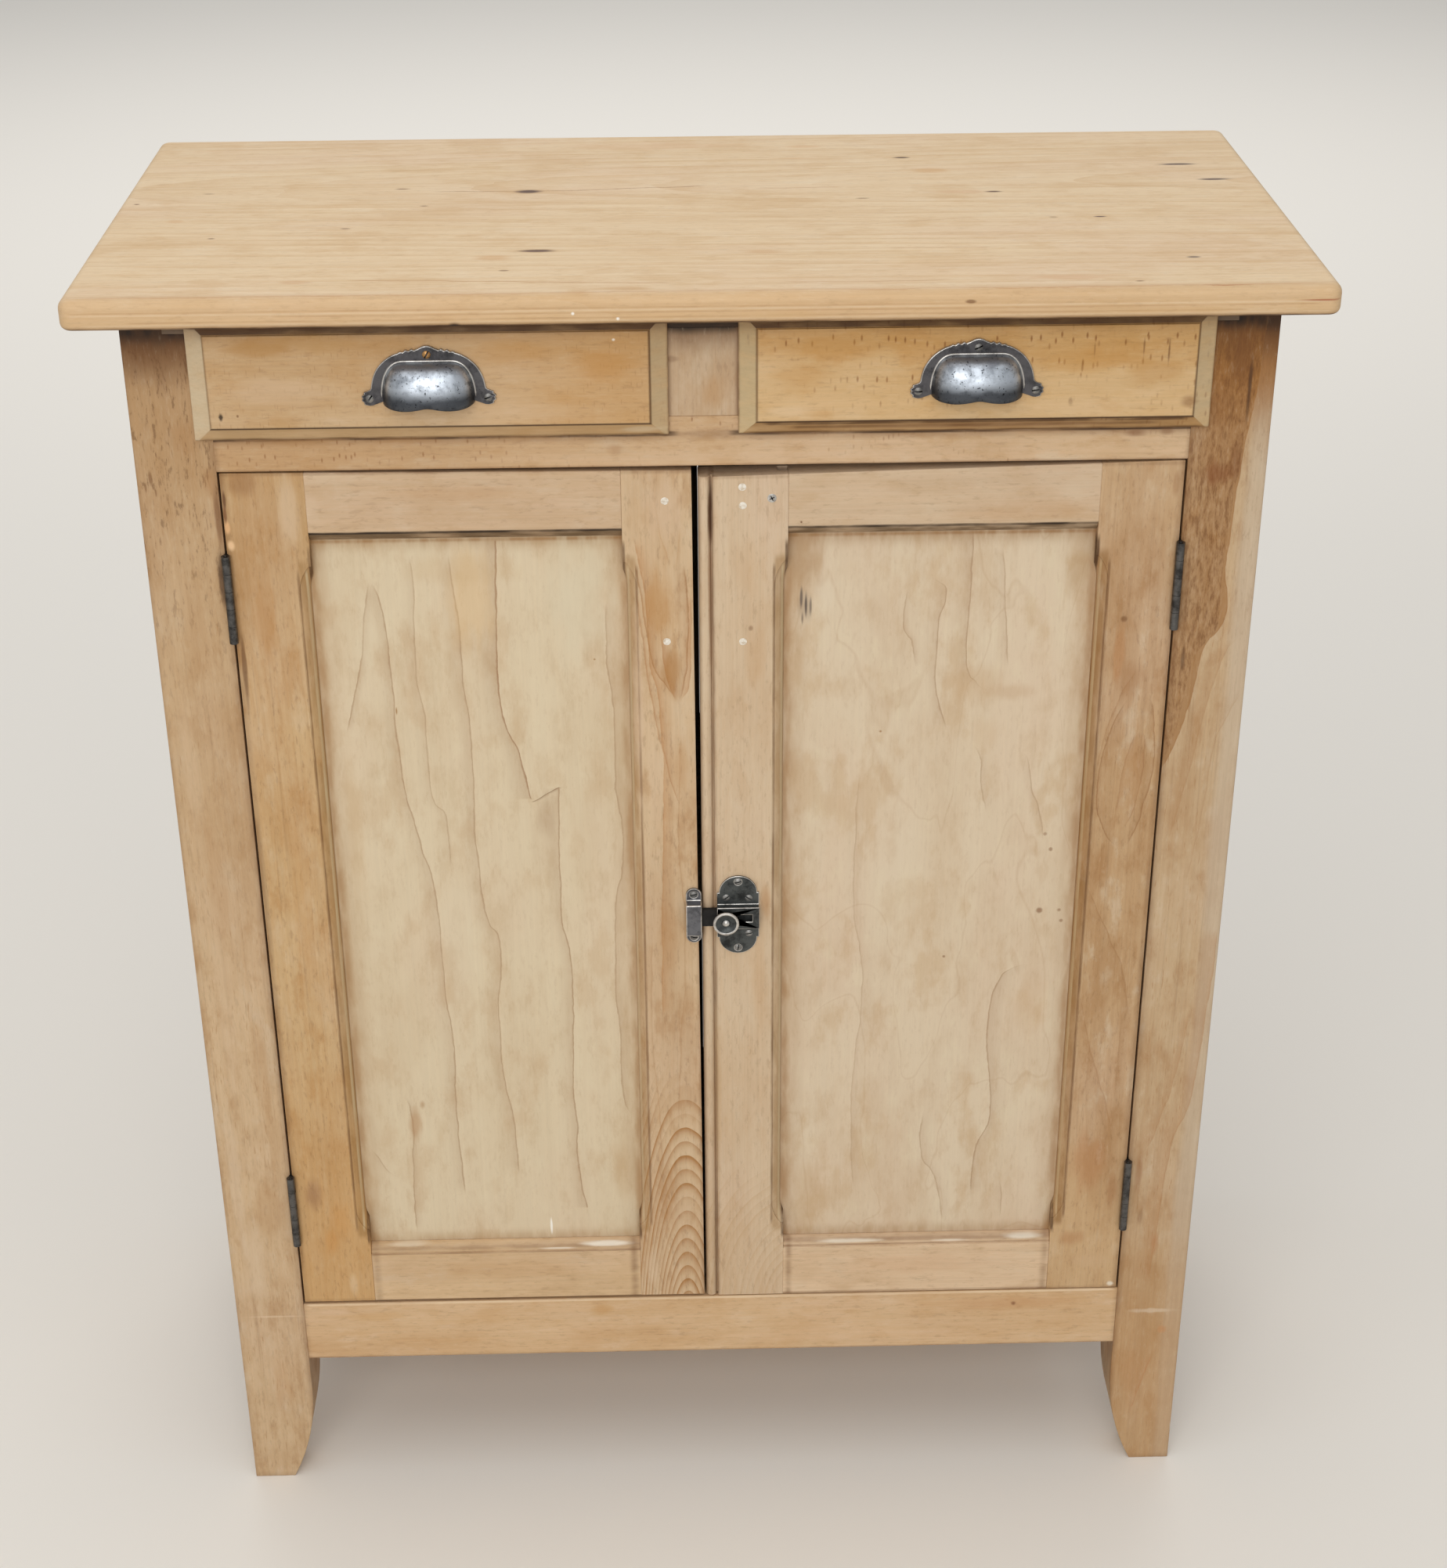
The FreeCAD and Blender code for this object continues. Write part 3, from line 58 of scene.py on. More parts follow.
class NodeSheet:
    # one material and the few kinds of node that its pattern is made of

    def __init__(self, name):
        self.material = bpy.data.materials.new(name)
        self.material.use_nodes = True
        self.tree = self.material.node_tree
        self.tree.nodes.clear()
        output = self.add("ShaderNodeOutputMaterial")
        self.shader = self.add("ShaderNodeBsdfPrincipled")
        self.tree.links.new(self.shader.outputs[0], output.inputs[0])
        self.place = self.add("ShaderNodeTexCoord").outputs["Object"]
        split = self.add("ShaderNodeSeparateXYZ")
        self.feed(split.inputs[0], self.place)
        self.axis = dict(zip("xyz", split.outputs))

    def add(self, kind, **settings):
        node = self.tree.nodes.new(kind)
        for key, value in settings.items():
            setattr(node, key, value)
        return node

    def feed(self, socket, value):
        if isinstance(value, bpy.types.NodeSocket):
            self.tree.links.new(value, socket)
        else:
            socket.default_value = value

    def math(self, operation, first, second=0.0):
        node = self.add("ShaderNodeMath", operation=operation)
        self.feed(node.inputs[0], first)
        self.feed(node.inputs[1], second)
        return node.outputs[0]

    def total(self, *terms):
        result = terms[0]
        for term in terms[1:]:
            result = self.math("ADD", result, term)
        return result

    def product(self, *factors):
        result = factors[0]
        for factor in factors[1:]:
            result = self.math("MULTIPLY", result, factor)
        return result

    def apart(self, first, second):
        return self.math("ABSOLUTE", self.math("SUBTRACT", first, second))

    def swing(self, pattern, size):
        # a pattern from 0 to 1 as a shift to both sides
        return self.product(self.math("SUBTRACT", pattern, 0.5), size)

    def length(self, first, second):
        # root of the sum of squares
        return self.math("SQRT", self.total(self.product(first, first), self.product(second, second)))

    def ramp(self, value, low, high, start=0.0, end=1.0):
        # smooth step from start to end while the value goes from low to high
        node = self.add("ShaderNodeMapRange", interpolation_type="SMOOTHSTEP")
        for socket, setting in zip(node.inputs, (value, low, high, start, end)):
            self.feed(socket, setting)
        return node.outputs[0]

    def reach(self, value, low, high, start=0.0, end=1.0):
        # the same between two places in millimetres
        return self.ramp(value, low * mm, high * mm, start, end)

    def stretched(self, scales, seed=0.0):
        # the place with each axis scaled, so that a noise runs along the grain
        node = self.add("ShaderNodeMapping")
        node.inputs["Location"].default_value = (seed, seed * 0.7, seed * 1.3)
        node.inputs["Scale"].default_value = scales
        self.feed(node.inputs["Vector"], self.place)
        return node.outputs[0]

    def noise(self, vector, detail=2.0, roughness=0.5, distortion=0.0, scale=1.0):
        node = self.add("ShaderNodeTexNoise")
        self.feed(node.inputs["Vector"], vector)
        node.inputs["Scale"].default_value = scale
        node.inputs["Detail"].default_value = detail
        node.inputs["Roughness"].default_value = roughness
        node.inputs["Distortion"].default_value = distortion
        return node.outputs[0]

    def blend(self, share, under, over, mode="MIX"):
        node = self.add("ShaderNodeMix", data_type="RGBA", blend_type=mode)
        self.feed(node.inputs[0], share)
        self.feed(node.inputs[6], under)
        self.feed(node.inputs[7], over)
        return node.outputs[2]

    def follow(self, value, points):
        # a smooth curve through points (from, to), both in metres
        froms, tos = np.array(points, float).T
        span = max(tos.max() - tos.min(), 1e-6)
        node = self.add("ShaderNodeFloatCurve")
        curve = node.mapping.curves[0]
        spots = np.column_stack([(froms - froms.min()) / np.ptp(froms), (tos - tos.min()) / span])
        spots = spots[np.argsort(spots[:, 0])]
        curve.points[0].location = spots[0]
        curve.points[1].location = spots[-1]
        for spot in spots[1:-1]:
            curve.points.new(*spot)
        node.mapping.update()
        share = self.math("DIVIDE", self.math("SUBTRACT", value, froms.min()), np.ptp(froms))
        self.feed(node.inputs["Value"], share)
        return self.math("ADD", self.product(node.outputs[0], span), tos.min())

    def bump(self, height, strength, distance):
        node = self.add("ShaderNodeBump")
        node.inputs["Strength"].default_value = strength
        node.inputs["Distance"].default_value = distance
        self.feed(node.inputs["Height"], height)
        self.feed(self.shader.inputs["Normal"], node.outputs[0])


# Wood: one recipe for every board, in millimetres and sRGB

woodPlain = {
    "grain": "z", "across": "x", "front": None, "seed": 0.0, "roughness": 0.6, "relief": 0.12,
    "pale": (206, 178, 142), "deep": (180, 142, 98), "brown": (112, 70, 34), "pink": (206, 176, 146),
    # rim: the colour of a painted shadow line along a drawer field's edge
    "black": (48, 32, 20), "rim": (66, 42, 22), "wash": (212, 191, 162),
    "fibre": 0.05, "streak": 0.18, "vein": 0.08, "cloud": 0.4, "blush": 0.35, "pores": 0.25, "mottle": 0.35,
    "ring": 0.2, "ringCentre": (0, 0), "ringStretch": 9, "ringSpacing": 9, "ringWarp": 10,
    "ringReach": None,
    "blotch": 0.2, "blotchTone": "deep", "stain": 0.0, "stainTone": (172, 130, 88),
    "speck": 0.16, "speckTone": "brown", "speckReach": None,
    "dash": 0.0, "dashSize": (7, 1.0), "dashAxis": "z", "dashTone": (146, 98, 54),
    "bands": [], "lines": [], "frame": None, "dirtAndShade": [], "strips": [], "marks": [],
}
linePlain = {"side": 1, "fade": 12, "soft": 0.35, "strength": 0.5, "tone": "deep", "tail": 14, "fleck": 0}
# noises along the grain: scale lengthwise, scale crosswise, shift, detail, roughness
grainPatterns = {
    "pore": (90, 900, 19, 1, 0.5), "fibre": (9, 620, 0, 3, 0.6), "speck": (85, 340, 61, 3, 0.7),
    "vein": (6, 330, 9, 3, 0.55), "grit": (30, 130, 41, 3, 0.5), "streak": (3.2, 130, 5, 4, 0.6),
    "mottle": (26, 60, 47, 5, 0.62), "blotch": (17, 30, 71, 5, 0.6), "cloud": (6, 20, 7, 4, 0.58),
    "sway": (3.5, 16, 3, 3, 0.5), "blush": (5, 13, 13, 2, 0.5),
}
waterStain = {"noise": (5, 13, 51, 3, 0.4, 0.5), "inside": (0.55, 0.6), "rim": 0.555, "rimHalf": 0.008}
# soft tones over the pale wood: pattern, from, to, colour
softTones = [
    ("blush", 0.45, 0.7, "pink"), ("cloud", 0.45, 0.72, "deep"), ("mottle", 0.5, 0.7, "deep"),
    ("mottle", 0.47, 0.3, "wash"), ("blotch", 0.5, 0.66, "blotchTone"), ("streak", 0.45, 0.7, "deep"),
]


class WoodSheet(NodeSheet):
    # a board's colour, laid on in layers from the bare wood to knots and stains

    def __init__(self, name, look):
        super().__init__(name)
        self.look = {**woodPlain, **look}
        self.along, self.across = self.axis[self.look["grain"]], self.axis[self.look["across"]]
        self.pattern = {key: self.grained(*settings) for key, settings in grainPatterns.items()}
        self.pore = self.ramp(self.pattern["pore"], 0.62, 0.78)
        self.patchy = self.ramp(self.pattern["grit"], 0.3, 0.65, 0.45, 1.0)
        self.colour = self.tone("pale")

    def tone(self, key):
        # a colour, or the look's colour of that name, which may name another
        value = self.look.get(key, key)
        return self.tone(value) if isinstance(value, str) else linear(value)

    def grained(self, lengthwise, crosswise, shift, detail, roughness, distortion=0.0):
        scales = [lengthwise if axis == self.look["grain"] else crosswise for axis in "xyz"]
        return self.noise(self.stretched(scales, self.look["seed"] + shift), detail, roughness, distortion)

    def paint(self, share, key):
        self.colour = self.blend(share, self.colour, self.tone(key))

    def onFront(self, share):
        # the listed tones stay on the front face where its depth is given
        front = self.look["front"]
        if front is None:
            return share
        return self.product(share, self.reach(self.axis["y"], front, front + 4, 1, 0))

    def rings(self):
        # distance from a far-off pith, stretched along the grain, cut into saw teeth
        look = self.look
        sway = self.swing(self.pattern["sway"], look["ringWarp"] * mm * 2)
        out = self.math("SUBTRACT", self.across, look["ringCentre"][0] * mm)
        up = self.math("SUBTRACT", self.along, look["ringCentre"][1] * mm)
        up = self.math("DIVIDE", up, look["ringStretch"])
        count = self.math("DIVIDE", self.math("ADD", self.length(out, up), sway), look["ringSpacing"] * mm)
        each = self.add("ShaderNodeTexWhiteNoise", noise_dimensions="1D")
        self.feed(each.inputs["W"], self.math("FLOOR", count))
        tooth = self.math("POWER", self.math("FRACT", count), 2.2)
        rings = self.product(tooth, self.math("ADD", each.outputs["Value"], 0.25))
        if look["ringReach"]:
            rings = self.product(rings, self.reach(self.along, *look["ringReach"], 1, 0))
        return rings

    def layBareWood(self):
        look = self.look
        for name, low, high, key in softTones:
            self.paint(self.ramp(self.pattern[name], low, high, 0, look[name]), key)
        self.paint(self.product(self.rings(), look["ring"]), "deep")
        self.paint(self.ramp(self.pattern["vein"], 0.56, 0.75, 0, look["vein"]), "brown")
        self.paint(self.product(self.pore, look["pores"]), "deep")

    def layWaterStains(self):
        # a tinted inside and a thin dark rim where a warped noise passes one level
        strength = self.look["stain"]
        if not strength:
            return
        level = self.grained(*waterStain["noise"])
        inside = self.ramp(level, *waterStain["inside"], 0, strength * 0.5)
        inside = self.product(inside, self.ramp(self.pattern["mottle"], 0.3, 0.6))
        rim = self.ramp(self.apart(level, waterStain["rim"]), 0.0, waterStain["rimHalf"], strength, 0)
        self.paint(self.math("MAXIMUM", inside, rim), "stainTone")

    def layBands(self):
        # broad tones along one axis, among them painted shade under the top and on the top's front face:
        # (axis, from, to, strength, colour)
        for axis, low, high, strength, key in self.look["bands"]:
            wander = self.swing(self.pattern["cloud"], abs(high - low) * mm * 1.2)
            share = self.reach(self.math("ADD", self.axis[axis], wander), low, high, 0, strength)
            self.paint(self.onFront(share), key)

    def layGrowthLines(self):
        # drawn through points (along, across): a crisp edge that fades to one side
        wobble = self.total(self.swing(self.pattern["grit"], 3 * mm),
                            self.swing(self.pattern["mottle"], 5 * mm))
        for line in self.look["lines"]:
            line = {**linePlain, **line}
            points = np.array(line["points"], float) * mm
            start, end = points[:, 0].min(), points[:, 0].max()
            tail = min(line["tail"] * mm, (end - start) / 3)
            gap = self.math("SUBTRACT", self.across, self.follow(self.along, points))
            gap = self.product(self.math("ADD", gap, wobble), line["side"])
            share = self.product(
                self.math("POWER", self.reach(gap, 0, line["fade"], 1, 0), 1.5),
                self.reach(gap, 0.2, 1.4, 1, line["soft"]),
                self.reach(gap, -0.5, 0.1),
                self.ramp(self.along, start, start + tail, 0, line["strength"]),
                self.ramp(self.along, end - tail, end, 1, 0))
            if line["fleck"]:
                fleck = self.ramp(self.pattern["speck"], 0.42, 0.66, 1 - line["fleck"], 1)
                share = self.product(share, fleck)
            self.paint(self.onFront(share), line["tone"])

    def laySpecks(self):
        # dark and pale bits of fibre
        look, speck = self.look, self.pattern["speck"]
        dark = self.ramp(speck, 0.54, 0.68, 0, look["speck"])
        if look["speckReach"]:
            dark = self.product(dark, self.reach(self.along, *look["speckReach"], 0.25, 1))
        self.paint(dark, "speckTone")
        self.paint(self.ramp(speck, 0.46, 0.3, 0, min(look["speck"], 0.16)), "wash")

    def layDashes(self):
        # the near surroundings of scattered points, in cells about three times the dash
        look = self.look
        if not look["dash"]:
            return
        length, width = look["dashSize"]
        flat = self.add("ShaderNodeCombineXYZ")
        for socket, axis in zip(flat.inputs, "xz"):
            size = length if axis == look["dashAxis"] else width
            scaled = self.product(self.axis[axis], 0.3 / (size * mm))
            self.feed(socket, self.math("ADD", scaled, look["seed"]))
        cells = self.add("ShaderNodeTexVoronoi", voronoi_dimensions="2D")
        cells.inputs["Scale"].default_value = 1
        self.feed(cells.inputs["Vector"], flat.outputs[0])
        near = self.product(
            self.ramp(cells.outputs["Distance"], 0.05, 0.22, look["dash"], 0),
            self.ramp(self.pattern["cloud"], 0.42, 0.58),
            self.ramp(cells.outputs["Color"], 0.3, 0.7, 0.1, 1))
        if look["speckReach"]:
            near = self.product(near, self.reach(self.along, *look["speckReach"]))
        self.paint(near, "dashTone")

    def layBorder(self):
        # mitred border of a drawer front: the side that lies furthest outside the field gives the tone; the
        # high side's tone is painted shade under the top, and the rim a painted shadow line along the
        # field's edge
        if not self.look["frame"]:
            return
        left, right, low, high = (edge * mm for edge in self.look["frame"]["field"])
        x, z = self.axis["x"], self.axis["z"]
        past = {"left": self.math("SUBTRACT", left, x), "right": self.math("SUBTRACT", x, right),
                "low": self.math("SUBTRACT", low, z), "high": self.math("SUBTRACT", z, high)}
        furthest = self.math("MAXIMUM", self.math("MAXIMUM", past["left"], past["right"]),
                             self.math("MAXIMUM", past["low"], past["high"]))
        outside = self.reach(furthest, 0.2, 0.8)
        near = self.reach(self.math("ABSOLUTE", furthest), 0.3, 1.5, 1, 0)
        for side, (strength, key, rim) in self.look["frame"]["sides"].items():
            here = self.reach(self.math("SUBTRACT", past[side], furthest), -0.6, 0)
            worn = self.ramp(self.pattern["grit"], 0.2, 0.65, strength * 0.55, strength)
            self.paint(self.product(here, outside, worn), key)
            self.paint(self.product(here, near, rim), "rim")

    def layFibres(self):
        # hair-fine light and shade
        strength = self.look["fibre"]
        shade = self.add("ShaderNodeCombineColor")
        grey = self.ramp(self.pattern["fibre"], 0.25, 0.75, 1 - strength, 1 + strength * 0.35)
        for socket in shade.inputs:
            self.feed(socket, grey)
        self.colour = self.blend(1.0, self.colour, shade.outputs[0], "MULTIPLY")

    def layDirtAndShade(self):
        # dirt along edges, and painted shade under the top, at the drawer lips and below the door rails'
        # mouldings: (axis, place, reach, strength)
        for axis, at, far, strength in self.look["dirtAndShade"]:
            near = self.reach(self.apart(self.axis[axis], at * mm), 0, far, 1, 0)
            self.paint(self.product(self.math("POWER", near, 1.3), self.patchy, strength), "brown")

    def layStrips(self):
        # thin strips in mouldings, painted shadow lines under the top and the drawer lips, and a painted
        # highlight on a worn edge: (axis, place, half width, from, to, strength, colour)
        for axis, at, half, start, end, strength, key in self.look["strips"]:
            gap = self.apart(self.axis[axis], at * mm)
            share = self.product(
                self.reach(gap, half * 0.4, half, strength, 0), self.patchy,
                self.reach(self.along, start, start + 8), self.reach(self.along, end - 8, end, 1, 0))
            self.paint(self.onFront(share), key)

    def layMarks(self):
        # knots and stains: (across, along, half width, half length, strength, colour[, two axes])
        ragged = self.swing(self.pattern["grit"], 1.1)
        for first, second, wide, tall, strength, key, *axes in self.look["marks"]:
            flat, long = [self.axis[letter] for letter in axes[0]] if axes else (self.across, self.along)
            sideways = self.math("DIVIDE", self.math("SUBTRACT", flat, first * mm), wide * mm)
            lengthways = self.math("DIVIDE", self.math("SUBTRACT", long, second * mm), tall * mm)
            share = self.math("ADD", self.length(sideways, lengthways), ragged)
            self.paint(self.onFront(self.ramp(share, 0.3, 1.1, strength, 0)), key)

    def setSurface(self):
        self.feed(self.shader.inputs["Base Color"], self.colour)
        self.shader.inputs["Roughness"].default_value = self.look["roughness"]
        self.shader.inputs["Specular IOR Level"].default_value = 0.3
        relief = self.total(
            self.product(self.pattern["fibre"], 0.7), self.product(self.pattern["vein"], 0.4),
            self.product(self.pore, -0.5))
        self.bump(relief, self.look["relief"], 0.5 * mm)


def woodFinish(name, **look):
    wood = WoodSheet(name, look)
    wood.layBareWood()
    wood.layWaterStains()
    wood.layBands()
    wood.layGrowthLines()
    wood.laySpecks()
    wood.layDashes()
    wood.layBorder()
    wood.layFibres()
    wood.layDirtAndShade()
    wood.layStrips()
    wood.layMarks()
    wood.setSurface()
    return wood.material


def dress(material, *names):
    for name in names:
        nodes[name].data.materials.clear()
        nodes[name].data.materials.append(material)


def soften(width, *names):
    # board edges worn round by a small bevel
    for name in names:
        nodes[name].modifiers.new("join", "WELD").merge_threshold = 0.01 * mm
        flat = nodes[name].modifiers.new("flat", "DECIMATE")
        flat.decimate_type = "DISSOLVE"
        flat.angle_limit = math.radians(0.5)
        edge = nodes[name].modifiers.new("wornEdge", "BEVEL")
        edge.width = width * mm
        edge.segments = 2
        edge.limit_method = "ANGLE"
        edge.angle_limit = math.radians(40)
        edge.use_clamp_overlap = False


# Top board

topLook = {
    "grain": "x", "across": "y", "seed": 1.0, "pale": (228, 200, 160), "deep": (204, 163, 110),
    "pink": (224, 192, 160), "ring": 0.34, "ringCentre": (60, 900), "ringStretch": 14, "ringSpacing": 11,
    "fibre": 0.05, "streak": 0.3, "vein": 0.035, "cloud": 0.2, "blush": 0.35, "pores": 0.4, "mottle": 0.25,
    "wash": (234, 215, 186), "speck": 0.1, "blotch": 0.3,
    # the band darkens the top's front edge and face: painted shade
    "bands": [("y", -206, -217, 0.65, (202, 165, 121))],
    "lines": [
        {"points": [(-208, 50), (-131, 48), (-60, 52), (9, 58)], "fade": 3, "strength": 0.8,
         "tone": (148, 98, 58)},
        {"points": [(-251, -178), (-150, -184), (-18, -194)], "fade": 4, "strength": 0.65,
         "tone": (176, 124, 76)},
        {"points": [(130, -115), (170, -116), (217, -117)], "fade": 4, "strength": 0.45,
         "tone": (172, 120, 76)},
        {"points": [(51, -193), (110, -196), (176, -192)], "fade": 5, "strength": 0.45,
         "tone": (176, 122, 76)},
        {"points": [(43, 48), (80, 49), (116, 50)], "fade": 5, "strength": 0.45, "tone": (176, 122, 76)},
        {"points": [(342, -214), (362, -213), (382, -214)], "fade": 3, "strength": 0.6,
         "tone": (164, 92, 58)},
        {"points": [(60, -50), (112, -54), (170, -45), (215, -38)], "fade": 7, "strength": 0.3,
         "tone": (186, 140, 96)},
        {"points": [(-430, -212), (-200, -213), (30, -212), (230, -213), (430, -212)], "fade": 5,
         "strength": 0.4, "tone": (178, 122, 76)},
    ],
    # darker along the lower edge: painted shade under the top
    "dirtAndShade": [("z", 1076, 5, 0.75)],
    "strips": [
        # the first strip is a painted shadow line along the top's lower edge; the others are grain stripes
        ("z", 1076, 2.6, -470, 470, 0.9, (70, 48, 28)), ("z", 1082, 0.9, -400, 380, 0.35, (170, 126, 82)),
        ("z", 1085.5, 0.7, -300, 430, 0.35, (176, 132, 88)),
        ("z", 1089, 0.8, -440, 200, 0.35, (176, 130, 86)),
        ("z", 1087.3, 0.9, -440, 440, 0.35, (230, 208, 176)),
        ("z", 1080, 0.9, -430, 440, 0.3, (226, 202, 168)),
    ],
    "marks": [
        (182, -30, 14, 90, 0.35, (212, 168, 124)), (47, -131, 9, 28, 0.35, "deep"),
        (47, -131, 6, 12, 0.95, (84, 56, 44)), (-128, -150, 9, 17, 0.4, (198, 142, 78)),
        (-112, -118, 9, 24, 0.4, "deep"), (-112, -118, 4.5, 16, 0.95, (92, 62, 48)),
        (59, -230, 2.2, 7, 0.7, "brown"), (10, -209, 1.8, 5, 0.85, "brown"),
        (-49, -263, 1.8, 5, 0.75, "brown"), (-71, -359, 1.8, 4, 0.9, "brown"),
        (51, -379, 1.8, 6, 0.5, "brown"), (24, -430, 1.8, 3, 0.9, "brown"),
        (-159, -140, 2, 4, 0.6, "brown"), (-181, -285, 5, 14, 0.4, (200, 150, 100)),
        (-25, -393, 6, 9, 0.35, (204, 152, 96)), (-210, -86, 6, 13, 0.35, (192, 142, 84)),
        (-204, -53, 7, 22, 0.4, (194, 146, 88)), (136, 167, 2.8, 8, 0.95, (92, 66, 40)),
        (96, 185, 9, 17, 0.5, (206, 158, 100)), (32, 229, 3, 9, 0.95, (92, 66, 46)),
        (32, 205, 6, 30, 0.3, (206, 154, 110)), (17, 127, 1.8, 6, 0.6, "brown"),
        (106, 385, 3.4, 17, 0.95, (92, 70, 58)), (60, 406, 3.6, 16, 0.95, (90, 68, 56)),
        (-41, 301, 2.2, 6, 0.95, (86, 56, 48)), (-41, 266, 3, 4, 0.35, "brown"),
        (-147, 352, 2.8, 6, 0.8, (98, 80, 66)), (-202, 304, 1.8, 5, 0.8, "brown"),
        (-191, 259, 7, 40, 0.4, (206, 156, 108)), (-121, 46, 6, 18, 0.45, (200, 152, 98)),
        (175, 89, 5, 18, 0.4, (212, 166, 116)), (138, 77, 3, 24, 0.4, (206, 158, 106)),
        (-172, 1077, 6, 3.2, 0.95, "black", "xz"), (185, 1090, 4, 1.6, 0.7, "brown", "xz"),
        (428, 1088, 18, 1.1, 0.75, (160, 84, 48), "xz"), (-59, 1081, 1.8, 1.6, 0.9, (246, 240, 228), "xz"),
        (-90, 1085, 1.4, 1.4, 0.9, (246, 240, 228), "xz"), (60, 1083, 40, 3, 0.25, "deep", "xz"),
        (330, 1082, 50, 3, 0.25, "deep", "xz"),
    ],
}
dress(woodFinish("topWood", **topLook), "top_board")

# Posts

leftPostLook = {
    "seed": 2.0, "front": -183, "pale": (207, 177, 139), "deep": (168, 124, 76), "ringCentre": (-500, 400),
    "ringSpacing": 8, "ring": 0.12, "cloud": 0.45, "vein": 0.16, "dash": 0.35, "dashSize": (6, 1.1),
    "dashTone": (112, 68, 32), "mottle": 0.42, "pores": 0.45, "speck": 0.5, "speckTone": (92, 56, 24),
    "speckReach": (760, 960),
    "bands": [("z", 480, 700, 0.45, (182, 146, 104)), ("z", 830, 1000, 0.4, (160, 116, 66)),
              # the next two bands are painted shade under the top's overhang
              ("z", 1015, 1052, 0.75, (106, 66, 30)), ("z", 1046, 1062, 0.85, (52, 36, 22))],
    # painted shadow at the top of the post, under the top
    "strips": [("z", 1072, 18, 1030, 1100, 0.95, (36, 25, 15))],
    # the first two entries are painted shade under the top; the others darken along the edges and at the
    # foot
    "dirtAndShade": [("z", 1076, 70, 0.75), ("z", 1076, 22, 0.85), ("x", -352, 7, 0.45), ("x", -410, 4, 0.3),
             ("z", 0, 8, 0.3)],
    "marks": [
        (-400, 955, 1.6, 7, 0.6, "brown"), (-404, 948, 1.2, 5, 0.5, "brown"),
        (-397, 944, 1, 4, 0.5, "brown"), (-354, 925, 3, 28, 0.6, (110, 66, 32)),
        (-371, 985, 11, 18, 0.3, (164, 118, 70)), (-358, 953, 6, 16, 0.4, (160, 110, 60)),
        (-356, 874, 3, 26, 0.7, (70, 42, 24)), (-379, 831, 12, 50, 0.25, (172, 128, 80)),
        (-395, 720, 8, 80, 0.3, (212, 184, 150)), (-372, 296, 16, 40, 0.4, (178, 136, 90)),
        (-361, 362, 8, 55, 0.35, (176, 134, 86)), (-388, 240, 12, 50, 0.5, (212, 186, 154)),
        (-378, 106, 10, 36, 0.35, (186, 140, 92)), (-398, 330, 7, 90, 0.4, (216, 192, 162)),
        (-366, 440, 9, 70, 0.3, (178, 136, 92)), (-384, 610, 10, 90, 0.3, (184, 144, 102)),
        (-380, 182, 28, 1.3, 0.45, (226, 200, 168)), (-390, 500, 9, 110, 0.35, (210, 182, 148)),
    ],
}
